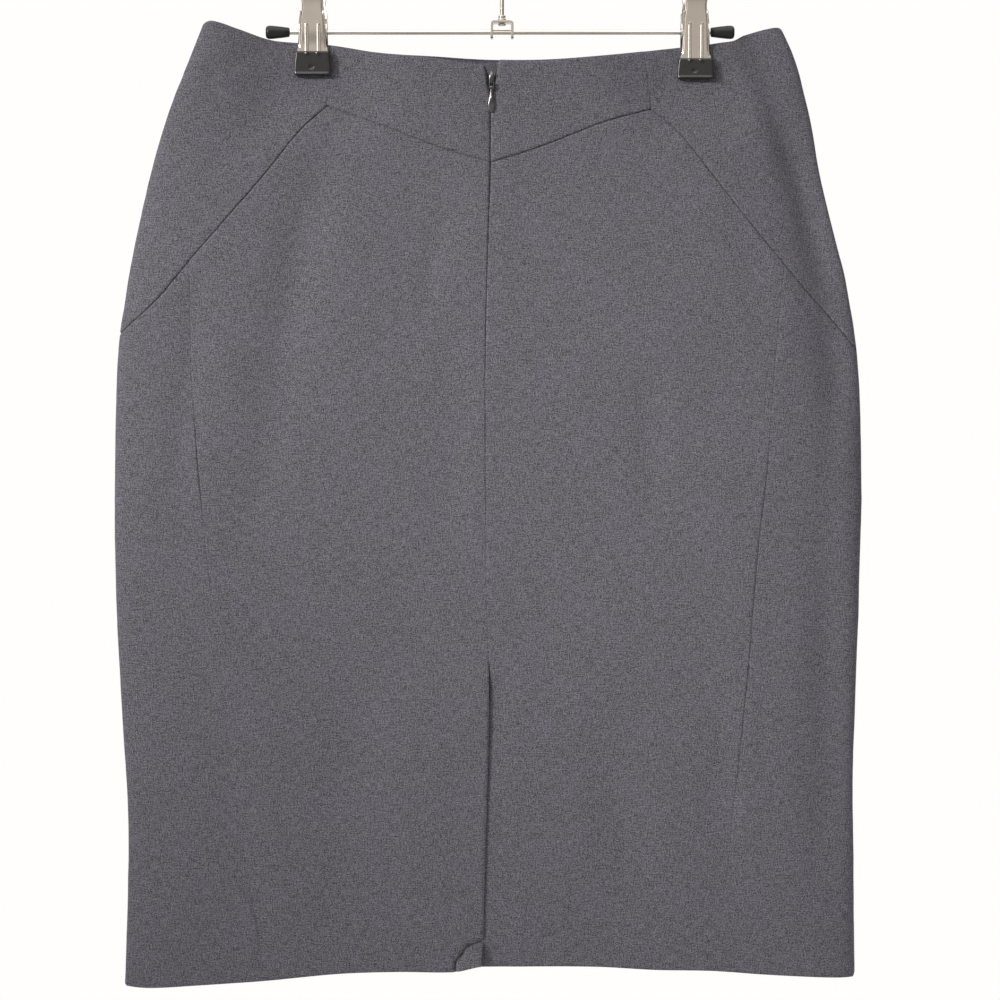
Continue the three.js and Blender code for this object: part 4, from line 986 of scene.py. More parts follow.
# %% Sizes of the zip
ZIP = {
    "tape_top": 22.0, "tape_foot": 212.0, "tape_half": 10.8, "tape_wall": 0.5, "tape_spacing": 1.8,
    "behind": 1.4, "space": 1.1, "space_top": 37.0, "space_foot": 52.0, "tooth_pitch": 1.45,
    "tooth": (1.25, 0.5, 0.42), "tooth_behind": 2.1, "tooth_aside": 0.75, "first_tooth": 1.5,
    "toothless": 6.0, "shown": 1.15, "shown_gap": 4.5, "lips_end": 60.0,
}
TOOTH_FACES = 20


def tape_edge(side):
    lip = LIP_LEFT if side < 0 else LIP_RIGHT

    def x_at(drop):
        upper = read(lip, "drop", "x", np.clip(drop, lip["drop"][0], ZIP["lips_end"]))
        lower = read(CENTRE_BACK, "drop", "x", np.maximum(drop, ZIP["lips_end"]))
        return np.where(drop < ZIP["lips_end"], upper, lower)
    return x_at


# %% What shows past the lips
def lip_gap(drop):
    left = read(LIP_LEFT, "drop", "x", np.maximum(drop, LIP_LEFT["drop"][0]))
    gap = read(LIP_RIGHT, "drop", "x", drop) - left
    return np.where(drop < ZIP["lips_end"], np.clip(gap, 0, ZIP["shown_gap"]), 0.0)


def shown(drop):
    return ZIP["shown"] * lip_gap(drop) / ZIP["shown_gap"]


def slider_space(drop):
    return ZIP["space"] * (1 - smoothstep(drop, ZIP["space_top"], ZIP["space_foot"]))


def tape_shape(turn, drop):
    return cloth_point(turn, drop, -(ZIP["behind"] + slider_space(drop)))


# %% The two tapes
def tape_form(side):
    inner, top, foot = tape_edge(side), ZIP["tape_top"], ZIP["tape_foot"]
    near = down(lambda drop: inner(drop) + side * (0.1 - shown(drop)), top, foot)
    far = down(lambda drop: inner(drop) + side * ZIP["tape_half"], top, foot)
    left, right = (far, near) if side < 0 else (near, far)
    ends = np.array([0.0, 1.0])

    def level(place):
        corners = [line(ends)[:, place] for line in (left, right)]
        return lambda share: np.stack([lerp(corners[0][k], corners[1][k], share) for k in (0, 1)])

    edges = {"top": level(0), "foot": level(1), "left": left, "right": right}
    turn, drop, points = patch_grid(edges, tape_shape, ZIP["tape_spacing"])
    return grid_form(points, flat_map(turn, drop), False)


def join_forms(first, second):
    spare = bpy.data.meshes.new("spare")
    second.to_mesh(spare)
    second.free()
    first.from_mesh(spare)
    bpy.data.meshes.remove(spare)
    return first


both_tapes = join_forms(tape_form(-1), tape_form(1))
tapes = finish_piece("zip_tapes", both_tapes, tape_finish, ["zip_tape"])
add_wall(tapes, ZIP["tape_wall"])
print("tape points:", len(tapes.data.vertices))


# %% Coil
def coil_form():
    form = bmesh.new()
    toothed = ZIP["tape_foot"] - ZIP["tape_top"] - ZIP["toothless"]
    for side in (-1, 1):
        x_at = tape_edge(side)
        for i in range(int(toothed / ZIP["tooth_pitch"])):
            steps = i + (0.5 if side > 0 else 0)
            drop = ZIP["tape_top"] + ZIP["first_tooth"] + steps * ZIP["tooth_pitch"]
            x = float(x_at(drop)) + side * (ZIP["tooth_aside"] - float(shown(drop)))
            lift = -(ZIP["tooth_behind"] + float(slider_space(drop)))
            place = cloth_point(np.array(turn_at(x, drop)), np.array(drop), lift)
            tooth = bmesh.ops.create_icosphere(form, subdivisions=1, radius=1.0)["verts"]
            bmesh.ops.scale(form, vec=ZIP["tooth"], verts=tooth)
            bmesh.ops.translate(form, vec=place, verts=tooth)
    return form


coil = finish_piece("zip_coil", coil_form(), coil_finish, sharp=60.0)
print("teeth:", len(coil.data.polygons) // TOOTH_FACES)

# %% [markdown]
# ## Shaping tools
# The hard pieces are turned, bent and pressed, so a few helpers stand for those steps: a profile
# is spun round an axis, edges are rounded by a bevel, and an outline becomes a plate. Where a later
# edge has to be only a touch round, a Bevel modifier does it on the finished piece.


# %% Rounding and cleaning
def new_items(result, kind):
    return [item for item in result if isinstance(item, kind)]


def bevel(form, chosen, offset, segments, affect="EDGES"):
    bmesh.ops.bevel(form, geom=chosen, offset=offset, offset_type="OFFSET", segments=segments,
                    profile=0.5, affect=affect, clamp_overlap=True, material=-1)


def round_edges(form, offset, segments, sharper_than):
    bent = [e for e in form.edges if len(e.link_faces) == 2]
    bevel(form, [e for e in bent if e.calc_face_angle(0) > math.radians(sharper_than)], offset, segments)


def soften(piece, width, sharper_than=30.0):
    edge = piece.modifiers.new("edge", "BEVEL")
    edge.width = width * MM
    edge.segments = 2
    edge.angle_limit = math.radians(sharper_than)


def clean(form):
    bmesh.ops.remove_doubles(form, verts=form.verts, dist=1e-4)
    bmesh.ops.recalc_face_normals(form, faces=form.faces)
    return form


# %% Turning, moving and cutting plates
def turned(profile, axis, steps):
    form = bmesh.new()
    side = Vector((0, 0, 1)) if axis == "X" else Vector((1, 0, 0))
    along = Vector((1, 0, 0)) if axis == "X" else Vector((0, 0, 1))
    corners = [form.verts.new(side * radius + along * place) for radius, place in profile]
    for first, second in zip(corners, corners[1:]):
        form.edges.new((first, second))
    bmesh.ops.spin(form, geom=form.verts[:] + form.edges[:], cent=(0, 0, 0), axis=along,
                   angle=2 * math.pi, steps=steps, use_merge=True)
    return clean(form)


def move(form, x=0.0, y=0.0, z=0.0):
    bmesh.ops.translate(form, vec=(x, y, z), verts=form.verts)
    return form


def extrude(form, way):
    sheet = bmesh.ops.extrude_face_region(form, geom=form.faces[:])["geom"]
    bmesh.ops.translate(form, vec=way, verts=new_items(sheet, bmesh.types.BMVert))


def plate(corners, thick, rounding, round_corners=()):
    """A plate in Y and Z, its thickness along X, with some corners rounded."""
    form = bmesh.new()
    face = form.faces.new([form.verts.new((0, y, z)) for y, z in corners])
    chosen = {i: face.verts[i] for i in range(len(corners))}
    for i, radius in round_corners:
        bevel(form, [chosen[i]], radius, 6, "VERTICES")
    extrude(form, (thick, 0, 0))
    clean(move(form, x=-thick / 2))
    round_edges(form, rounding, 2, 50.0)
    return form


# %% [markdown]
# ## Slider and pull tab
# The slider is a small die-cast body with rounded shoulders, a bridge over it, and two ears with
# the pin that carries the pull. At this size a cast body reads as a squeezed ball, so that is what
# it is made from. The ears are plates, and the pin and the bridge are turned.

# %% Zip slider
PULL = {"x": -6.8, "pivot_drop": 36.2, "length": 16.0, "sheet": 0.7}
SLIDER = {
    "top": 25.6, "foot": 34.6, "wide": 2.15 * 1.9, "taper": (0.85, 1.1), "behind": 1.2, "proud": 1.5,
    "pin": 0.45, "pin_half": 1.5, "ear_from": 0.95, "ear_to": 1.6, "ear_radius": 1.15,
    "ear_rise": 1.6, "ear_round": 0.14, "ear_corner": 0.95,
}
BRIDGE = {"flat": 0.58, "out": 0.1, "up": 0.6}
BRIDGE_PROFILE = ((2.7, -0.5), (3.1, -0.5), (3.25, 0.0), (3.1, 0.5), (2.7, 0.5), (2.7, -0.5))
pivot = Vector(frame["joints"][0]["pos_m"]) / MM


def slider_form():
    top = np.array(SLIDER["top"])
    cloth_y = float(cloth_point(np.array(turn_at(PULL["x"], SLIDER["top"])), top)[1])
    tall = SLIDER["foot"] - SLIDER["top"]
    thick = SLIDER["behind"] + SLIDER["proud"]
    form = bmesh.new()
    bmesh.ops.create_uvsphere(form, u_segments=32, v_segments=24, radius=0.5)
    bmesh.ops.scale(form, vec=(SLIDER["wide"], thick, tall), verts=form.verts)
    for vertex in form.verts:
        vertex.co.x *= lerp(*SLIDER["taper"], 0.5 - vertex.co.z / tall)
    middle_z = pivot.z + PULL["pivot_drop"] - (SLIDER["top"] + SLIDER["foot"]) / 2
    middle_y = cloth_y + (SLIDER["behind"] - SLIDER["proud"]) / 2
    move(form, pivot.x, middle_y, middle_z)
    for side in (-1, 1):
        join_forms(form, ear_form(side))
    half = SLIDER["pin_half"]
    pin = turned([(0, -half), (SLIDER["pin"], -half), (SLIDER["pin"], half), (0, half)], "X", 16)
    join_forms(form, move(pin, *pivot))
    bridge = turned(BRIDGE_PROFILE, "X", 28)
    bmesh.ops.scale(bridge, vec=(1, BRIDGE["flat"], 1), verts=bridge.verts)
    join_forms(form, move(bridge, pivot.x, middle_y - BRIDGE["out"], middle_z + BRIDGE["up"]))
    return form


def ear_form(side):
    reach = PULL["pivot_drop"] - SLIDER["foot"] + SLIDER["ear_rise"]
    radius = SLIDER["ear_radius"]
    outline = [(-radius, reach), (-radius, -radius), (radius, -radius), (radius, reach)]
    corner = radius * SLIDER["ear_corner"]
    thick = SLIDER["ear_to"] - SLIDER["ear_from"]
    ear = plate(outline, thick, SLIDER["ear_round"], ((1, corner), (2, corner)))
    return move(ear, pivot.x + side * (SLIDER["ear_from"] + SLIDER["ear_to"]) / 2, pivot.y, pivot.z)


slider = finish_piece("zip_slider_body", slider_form(), nickel_finish, ["zip_slider"])
print("slider triangles:", sum(len(p.vertices) - 2 for p in slider.data.polygons))

# %% [markdown]
# The pull is a drop-shaped tab: narrow at the neck, widest near its foot, with a raised rim, a
# crowned face and a ridge down the middle of its neck, which throws a long highlight. A grid is
# drawn in to that outline and raised, row by row, and then extruded to its thickness. The points
# of the last rows meet at the round foot, so they are merged first. A turned knuckle at the top
# goes round the slider's pin. The tab rides on its own body, because it swings.

# %% Sizes of the pull tab
PULL_WIDTH = table(("along", "half"),
    (0.0, 0.75), (2.4, 0.75), (5.0, 0.95), (8.0, 1.5), (10.4, 1.9), (11.2, 1.95))
PULL_FACE = {
    "crown": 0.34, "crown_width": 2.4, "rim": 0.06, "rim_starts": (3.0, 6.0), "out": 0.3,
    "ridge": 0.3, "ridge_width": 0.4, "ridge_ends": (9.0, 14.0), "foot_share": 0.7,
    "rim_in": (0.62, 0.8), "rim_out": (0.86, 1.0),
}
KNUCKLE = {
    "radius": 1.15, "half": 0.75, "hole": 0.56, "hole_half": 0.6, "hole_round": 0.12,
    "shoulder": 0.15, "shoulder_half": 0.55,
}


# %% The pull's outline and face
def pull_along(share):
    end, foot = PULL["length"], PULL_FACE["foot_share"]
    if share > foot:
        return end * math.sin(share * HALF_TURN)
    return end * math.sin(foot * HALF_TURN) * share / foot


def pull_half(along):
    widest, end = PULL_WIDTH["along"][-1], PULL["length"]
    half = float(read(PULL_WIDTH, "along", "half", min(along, widest)))
    if along > widest:
        half *= math.sqrt(max(0.0, 1 - ((along - widest) / (end - widest)) ** 2))
    return half


def pull_raise(aside, along, half):
    face = PULL_FACE
    rim = smoothstep(abs(aside), *face["rim_in"]) - smoothstep(abs(aside), *face["rim_out"])
    crown = face["crown"] * (1 - aside**4) * half / face["crown_width"]
    crown = crown + face["rim"] * float(rim) * smoothstep(along, *face["rim_starts"])
    ridge = face["ridge"] * math.exp(-((aside / face["ridge_width"]) ** 2))
    return crown + ridge * (1 - smoothstep(along, *face["ridge_ends"]))


# %% Pull tab
def pull_form():
    form = bmesh.new()
    bmesh.ops.create_grid(form, x_segments=13, y_segments=56, size=1.0)
    for vertex in form.verts:
        aside, along = vertex.co.x, pull_along((1 - vertex.co.y) / 2)
        half = pull_half(along)
        vertex.co = (aside * half, -pull_raise(aside, along, half), -along)
    bmesh.ops.remove_doubles(form, verts=form.verts, dist=1e-3)
    extrude(form, (0, PULL["sheet"], 0))
    move(clean(form), y=-PULL_FACE["out"])
    hole, radius = KNUCKLE["hole"], KNUCKLE["radius"]
    profile = [(hole, -KNUCKLE["hole_half"]), (hole + KNUCKLE["hole_round"], -KNUCKLE["half"]),
               (radius - KNUCKLE["shoulder"], -KNUCKLE["half"]), (radius, -KNUCKLE["shoulder_half"])]
    profile += [(out, -place) for out, place in reversed(profile)]
    join_forms(form, turned(profile + profile[:1], "X", 28))
    return move(form, *pivot)


finish_piece("zip_pull_tab", pull_form(), nickel_finish, ["zip_pull"], "pull_tab")
print("pull tab hangs from", [round(v, 1) for v in pivot], "mm")

# %% [markdown]
# ## The hanger's bar, caps, bracket and hook
# The bar is straight drawn wire and the caps are moulded round its ends. All three are the same
# all the way round, so half of each one's outline is spun round the bar's axis. One cap's profile
# serves both ends, mirrored.

# %% Bar and caps
BAR = {"radius": 1.5, "left": -149.0, "right": 146.5, "bore": 1.8}
CAP = {"length": 15.3, "narrow": 3.0, "wide": 4.3, "shoulder": 10.5, "end": 2.0, "seat": 0.3}


def bar_form():
    radius, left, right = BAR["radius"], BAR["left"], BAR["right"]
    form = turned([(0, left), (radius, left), (radius, right), (0, right)], "X", 32)
    round_edges(form, 0.3, 3, 60.0)
    return move(form, z=BAR_Z)


finish_piece("bar_wire", bar_form(), bar_finish, ["hanger_bar"])


def cap_form(inward):
    length, wide, narrow, bore = CAP["length"], CAP["wide"], CAP["narrow"], BAR["bore"]
    outside = [
        (0, length), (wide * 0.55, length - 0.12), (wide - 0.9, length - 0.45),
        (wide - 0.25, length - 1.3), (wide, length - 2.4), (wide - 0.05, CAP["shoulder"] + 0.4),
        (lerp(narrow, wide, 0.5), 5.2), (narrow, 0.5), (narrow - 0.35, 0.0),
    ]
    profile = outside + [(bore, 0.1), (bore, length - CAP["end"]), (0, length - CAP["end"])]
    form = turned(profile, "X", 40)
    bmesh.ops.scale(form, vec=(-inward, 1, 1), verts=form.verts)
    return clean(form)


for side, end, inward in (("left", BAR["left"], 1), ("right", BAR["right"], -1)):
    inner = end + inward * (CAP["length"] - CAP["end"] - CAP["seat"])
    form = move(cap_form(inward), inner, 0, BAR_Z)
    finish_piece(f"end_cap_{side}", form, rubber_finish, [f"hanger_cap_{side}"])
print("bar length in millimetres:", BAR["right"] - BAR["left"])

# %% [markdown]
# The bracket that carries the hook is one strip of sheet, bent twice over the bar. A line of three
# edges is drawn out to a strip, a bevel bends it, and another rounds its ends before it gets its
# thickness.

# %% Bracket
BRACKET = {"half": 7.35, "sheet": 1.6, "up": 7.3, "down": 4.2, "depth": 10.0, "bend": 2.2, "end": 2.6}


def bracket_form():
    form = bmesh.new()
    half, up, down_to, depth = (BRACKET[k] for k in ("half", "up", "down", "depth"))
    path = [(-half, -down_to), (-half, up), (half, up), (half, -down_to)]
    points = [form.verts.new((x, -depth / 2, z)) for x, z in path]
    for first, second in zip(points, points[1:]):
        form.edges.new((first, second))
    strip = bmesh.ops.extrude_edge_only(form, edges=form.edges[:])["geom"]
    bmesh.ops.translate(form, vec=(0, depth, 0), verts=new_items(strip, bmesh.types.BMVert))
    bevel(form, [e for e in form.edges if len(e.link_faces) == 2], BRACKET["bend"], 6)
    tips = [v for v in form.verts if abs(v.co.z + down_to) < 1e-4]
    bevel(form, tips, BRACKET["end"], 6, "VERTICES")
    bmesh.ops.recalc_face_normals(form, faces=form.faces)
    top = max(form.faces, key=lambda face: face.calc_center_median().z)
    if top.normal.z < 0:
        bmesh.ops.reverse_faces(form, faces=form.faces)
    bmesh.ops.solidify(form, geom=form.faces[:], thickness=BRACKET["sheet"])
    return move(clean(form), z=BAR_Z)


bracket = finish_piece("bar_bracket", bracket_form(), bar_finish, ["hanger_bracket"])
soften(bracket, 0.2)
print("bracket width in millimetres:", 2 * BRACKET["half"])

# %% [markdown]
# The hook is drawn wire with a foot that turns in the bracket: a riveted head below, then a collar,
# a sleeve and a small nut above. The foot is turned. The wire's round section is extruded up the
# straight stem and spun round the middle of each bend, as a bending jig does, and a ball closes
# its tip. The inside of its top is the origin of the whole part, where a rail carries it.

# %% Hook
HOOK = {
    "wire": 1.25, "inner": 19.75, "bend": 60.0, "tip": 202.0, "tip_radius": 1.45, "play": 0.3,
    "head": (2.4, 1.2), "collar": (2.6, 1.1), "sleeve": 1.55, "nut": (2.3, 9.3, 10.6),
}


def hook_foot():
    under, over = BRACKET["up"] - BRACKET["sheet"] - HOOK["play"], BRACKET["up"] + HOOK["play"]
    head, collar, nut, wire = HOOK["head"], HOOK["collar"], HOOK["nut"], HOOK["wire"]
    foot = turned([
        (0, under - head[1]), (head[0], under - head[1]), (head[0], under), (wire, under), (wire, over),
        (collar[0], over), (collar[0], over + collar[1]), (HOOK["sleeve"], over + collar[1]),
        (HOOK["sleeve"], nut[1]), (nut[0], nut[1]), (nut[0], nut[2]), (0, nut[2]),
    ], "Z", 36)
    round_edges(foot, 0.22, 2, 60.0)
    return move(foot, z=BAR_Z)


def hook_form():
    form, wire, stem_foot = hook_foot(), HOOK["wire"], BAR_Z + HOOK["nut"][1]
    radius = HOOK["inner"] + wire
    stem_top = -HOOK["inner"] - 2 * radius * math.sin(math.radians(HOOK["bend"]))
    ring = bmesh.ops.create_circle(form, cap_ends=False, radius=wire, segments=20)["verts"]
    bmesh.ops.translate(form, vec=(0, 0, stem_foot), verts=ring)
    edges = list({edge for vertex in ring for edge in vertex.link_edges})
    stem = bmesh.ops.extrude_edge_only(form, edges=edges)["geom"]
    last = new_items(stem, bmesh.types.BMVert)
    bmesh.ops.translate(form, vec=(0, 0, stem_top - BAR_Z - HOOK["nut"][1]), verts=last)
    last += [e for e in new_items(stem, bmesh.types.BMEdge) if all(v in last for v in e.verts)]
    bends = (((radius, 0, stem_top), HOOK["bend"], 14),
             ((0, 0, -HOOK["inner"]), -HOOK["bend"] - HOOK["tip"], 64))
    for centre, degrees, steps in bends:
        last = bmesh.ops.spin(form, geom=last, cent=centre, axis=(0, 1, 0),
                              angle=math.radians(degrees), steps=steps)["geom_last"]
    angle = math.radians(HOOK["tip"])
    tip = (radius * math.cos(angle), 0, radius * math.sin(angle) - HOOK["inner"])
    ball = bmesh.ops.create_uvsphere(form, u_segments=20, v_segments=12, radius=HOOK["tip_radius"])
    bmesh.ops.translate(form, vec=tip, verts=ball["verts"])
    return clean(form)


finish_piece("hook_wire", hook_form(), bar_finish, ["hanger_hook"])
print("hook opening in millimetres:", 2 * HOOK["inner"])

# %% [markdown]
# ## The clips
# Each clip is two pressed legs on the bar with a coiled spring between them. A leg is one sheet:
# narrow in the middle, wider at the finger tab and the jaw, with two ribs pressed into it and its
# long edges turned back. A bent grid shows all of that: its width and its distance from the cloth
# come from the rows of a table, and the ribs and edges are added to the distance. Two flanges,
# which are plates with rounded corners, reach from its sides to the bar. The rear leg is a little
# wider than the front one, so that its flanges go outside the others.

# %% Sizes of the legs
LEG_ROWS = ((-31.5, 14.2, 5.2), (-29.5, 13.6, 8.0), (-26.0, 12.2, 9.0), (-20.7, 10.2, 7.5),
            (-15.6, 9.0, 6.9), (-8.0, 7.7, 7.8), (0.0, 6.4, 8.1))
JAW = {"away": 3.6, "bend": 4.5, "bend_away": 4.2, "bend_half": 8.6, "half": 9.8, "tip_half": 9.5,
       "sheet": 0.9, "floor": 1.6}
RIB = {"x": 3.85, "half": 1.1, "raise": 0.75, "top": -4.7, "ease": 1.5, "steep": 1.25}
EDGE_TURN = {"width": 1.5, "depth": 1.0, "ease": 5.0}
FLANGE = {"sheet": 0.8, "front": 7.9, "rear": 9.0, "top": -13.0, "foot": 3.5, "radius": 3.6,
          "inset": 0.4, "round": 0.16, "corner": 0.9}
REAR = {"wider": 1.2, "wider_at_tab": 0.36, "tab_foot": -17.0, "tab_ease": 3.0, "ease": 6.0}
PLACES = {"front": -1, "rear": 1}


def leg_table(clip):
    jaw = ((clip["top"] - JAW["bend"], JAW["bend_away"], JAW["bend_half"]),
           (clip["top"], JAW["away"], JAW["half"]),
           (clip["foot"] - JAW["floor"], JAW["away"], JAW["tip_half"]))
    return table(("drop", "away", "half"), *LEG_ROWS, *jaw)


# %% The blade of a leg
def eased(value, low, high):
    return float(smoothstep(value, low, high))


def wider_at(drop, clip):
    tab_foot, ease = REAR["tab_foot"], REAR["tab_ease"]
    wider = lerp(REAR["wider_at_tab"], REAR["wider"], eased(drop, tab_foot - ease, tab_foot + ease))
    return wider * eased(clip["top"] - drop, 0, REAR["ease"])


def blade_relief(x, drop, half, clip):
    ribbed = eased(drop, RIB["top"] - RIB["ease"], RIB["top"] + RIB["ease"])
    ribs = math.exp(-(((abs(x) - RIB["x"]) / RIB["half"] * RIB["steep"]) ** 2))
    edge = EDGE_TURN["depth"] * eased(abs(x), half - EDGE_TURN["width"], half)
    above_jaw = 1 - eased(drop, clip["top"] - EDGE_TURN["ease"], clip["top"])
    return RIB["raise"] * ribbed * ribs, edge * above_jaw


def blade_form(clip, side):
    rows = leg_table(clip)
    top, foot = rows["drop"][0], rows["drop"][-1]
    form = bmesh.new()
    bmesh.ops.create_grid(form, x_segments=44, y_segments=72, size=1.0)
    for vertex in form.verts:
        drop = lerp(foot, top, (vertex.co.y + 1) / 2)
        half = float(read(rows, "drop", "half", drop))
        if side > 0:
            half += wider_at(drop, clip)
        x = vertex.co.x * half
        away = float(read(rows, "drop", "away", drop))
        raised, turned_back = blade_relief(x, drop, half, clip)
        vertex.co = (x, side * (away + raised - turned_back), -drop)
    bmesh.ops.recalc_face_normals(form, faces=form.faces)
    middle = min(form.faces, key=lambda face: face.calc_center_median().length)
    if middle.normal.y * side < 0:
        bmesh.ops.reverse_faces(form, faces=form.faces)
    bmesh.ops.solidify(form, geom=form.faces[:], thickness=JAW["sheet"])
    return clean(form)


# %% Legs
def leg_form(clip, side):
    rows = leg_table(clip)
    form = blade_form(clip, side)
    aways = [float(read(rows, "drop", "away", FLANGE[end])) - FLANGE["inset"] for end in ("top", "foot")]
    radius, corner = FLANGE["radius"], FLANGE["radius"] * FLANGE["corner"]
    outline = [(side * aways[0], -FLANGE["top"]), (side * aways[1], -FLANGE["foot"]), (0, -radius),
               (-side * radius, -radius), (-side * radius, radius)]
    x = FLANGE["rear"] if side > 0 else FLANGE["front"]
    for end in (-1, 1):
        flange = plate(outline, FLANGE["sheet"], FLANGE["round"], ((3, corner), (4, corner)))
        join_forms(form, move(flange, end * (x - FLANGE["sheet"] / 2)))
    return move(form, clip["x"], 0, BAR_Z)


for clip_name, clip in CLIPS.items():
    for place, side in PLACES.items():
        node = f"clip_{clip_name}_{place}_leg"
        form = leg_form(clip, side)
        leg = finish_piece(f"{node}_sheet", form, steel_finish, [node], sharp=50.0)
        soften(leg, 0.18, 50.0)
print("clip leg points:", len(leg.data.vertices))

# %% [markdown]
# The boots are soft, so their edges are all round. A cube is cut into a fine grid, and each of
# its points is moved to the nearest place on a rounded box. On the outer face the ribs of the leg
# push through near the top, a moulded lip runs along the foot, and a small dimple marks where the
# boot was held in its mould.

# %% Boots
PAD = {
    "half": PAD_HALF, "near": PINCHED_DEPTH + WALL / 2 + 0.3, "thick": 4.2, "taper": 1.3,
    "round": 1.25, "lip": 0.75, "lip_at": 1.1, "lip_width": 0.7, "dimple": 0.7, "dimple_radius": 1.5,
    "dimple_x": -0.6, "dimple_up": 5.4, "rib": 0.95, "rib_from": 4.0, "rib_full": 1.6,
    "flat_from": 2.2, "flat_end": 0.8, "cuts": 31,
}


def boot_push(x, z, low, tall):
    push = PAD["lip"] * math.exp(-(((low - PAD["lip_at"]) / PAD["lip_width"]) ** 2))
    from_dimple = math.hypot(x - PAD["dimple_x"], low - PAD["dimple_up"])
    push -= PAD["dimple"] * math.exp(-((from_dimple / PAD["dimple_radius"]) ** 4))
    rib = math.exp(-(((abs(x) - RIB["x"]) / RIB["half"]) ** 2))
    push += PAD["rib"] * rib * eased(z, tall / 2 - PAD["rib_from"], tall / 2 - PAD["rib_full"])
    return push * (1 - eased(abs(x), PAD["half"] - PAD["flat_from"], PAD["half"] - PAD["flat_end"]))


def boot_form(clip, side):
    tall = clip["foot"] - clip["top"]
    half_size = Vector((PAD["half"], PAD["thick"] / 2, tall / 2))
    form = bmesh.new()
    bmesh.ops.create_cube(form, size=2.0)
    bmesh.ops.subdivide_edges(form, edges=form.edges[:], cuts=PAD["cuts"], use_grid_fill=True)
    core = half_size - Vector((PAD["round"],) * 3)
    for vertex in form.verts:
        spot = Vector(c * h for c, h in zip(vertex.co, half_size))
        held = Vector(max(-c, min(c, s)) for c, s in zip(core, spot))
        skin = spot - held
        if skin.length > 0:
            spot = held + skin.normalized() * PAD["round"]
        low = spot.z + tall / 2
        if spot.y * side > PAD["thick"] / 2 - PAD["round"]:
            spot.y += side * boot_push(spot.x, spot.z, low, tall)
        spot.x *= 1 - PAD["taper"] / PAD["half"] * (low / tall) ** 2
        vertex.co = spot
    bmesh.ops.recalc_face_normals(form, faces=form.faces)
    centre_z = BAR_Z - (clip["top"] + clip["foot"]) / 2
    return move(form, clip["x"], side * (PAD["near"] + PAD["thick"] / 2), centre_z)


for clip_name, clip in CLIPS.items():
    for place, side in PLACES.items():
        node = f"clip_{clip_name}_{place}_pad"
        finish_piece(f"{node}_boot", boot_form(clip, side), vinyl_finish, [node], sharp=60.0)
print("boot width in millimetres:", 2 * PAD["half"])

# %% [markdown]
# The spring is round wire wound round the bar. A curve could be wound too, but spinning a small
# circle with a side step at each stage gives the helix in one operation, and each end is then
# drawn out straight to press on a leg.

# %% Springs
SPRING = {
    "wire": 0.52, "coil": 2.75, "half": 5.2, "turns": 7, "steps": 22, "arm_drop": -12.0, "inside": 1.4,
}


def spring_form(clip):
    form = bmesh.new()
    ring = bmesh.ops.create_circle(form, cap_ends=False, radius=SPRING["wire"], segments=10)["verts"]
    spin = Matrix.Rotation(HALF_TURN, 3, "X")
    bmesh.ops.rotate(form, cent=(0, 0, 0), matrix=spin, verts=ring)
    bmesh.ops.translate(form, vec=(-SPRING["half"], 0, SPRING["coil"]), verts=ring)
    start = form.verts[:] + form.edges[:]
    steps = SPRING["turns"] * SPRING["steps"]
    last = bmesh.ops.spin(form, geom=start, cent=(0, 0, 0), axis=(1, 0, 0),
                          dvec=(2 * SPRING["half"] / steps, 0, 0),
                          angle=2 * math.pi * SPRING["turns"], steps=steps)["geom_last"]
    away = float(read(leg_table(clip), "drop", "away", SPRING["arm_drop"])) - SPRING["inside"]
    rise = -SPRING["arm_drop"] - SPRING["coil"]
    for geometry, side in ((start, -1), (last, 1)):
        edges = [edge for edge in new_items(geometry, bmesh.types.BMEdge) if edge.is_valid]
        arm = bmesh.ops.extrude_edge_only(form, edges=edges)["geom"]
        tips = new_items(arm, bmesh.types.BMVert)
        bmesh.ops.translate(form, vec=(0, side * away, rise), verts=tips)
        rim = [e for e in new_items(arm, bmesh.types.BMEdge) if all(v in tips for v in e.verts)]
        bmesh.ops.contextual_create(form, geom=rim)
    return move(clean(form), clip["x"], 0, BAR_Z)


for clip_name, clip in CLIPS.items():
    node = f"clip_{clip_name}_spring"
    finish_piece(f"{node}_wire", spring_form(clip), bar_finish, [node])
print("spring turns:", SPRING["turns"])

# %% [markdown]
# ## Light and surroundings
# A catalogue picture has a pale studio round the object. The world stands for it, with a different
# picture for each kind of ray. The camera sees an even near-white. The cloth is lit by a dim soft
# grey, paler above. The chrome would look dead if it mirrored only that, so for glossy rays the
# world is a studio with a bright ceiling, dark sides with a narrow window in each, and a dark band
# ahead. None of this is on the object: it is all worked out from the direction of the ray.

# %% World
STUDIO = {
    "lit_low": (0.26, 0.25, 0.235, 1), "lit_high": (0.9, 0.9, 0.9, 1), "lit": 0.3,
    "floor": (0.05, 0.045, 0.04, 1), "middle": (0.84, 0.79, 0.73, 1), "ceiling": (3.2, 3.2, 3.1, 1),
    "pane": (0.3, 0.26, 0.22, 1), "side": (0.09, 0.075, 0.065, 1), "window": (2.4, 2.35, 2.25, 1),
    "band": (0.05, 0.045, 0.04, 1), "shine": 0.95, "seen": (1.0, 0.992, 0.972, 1),
}


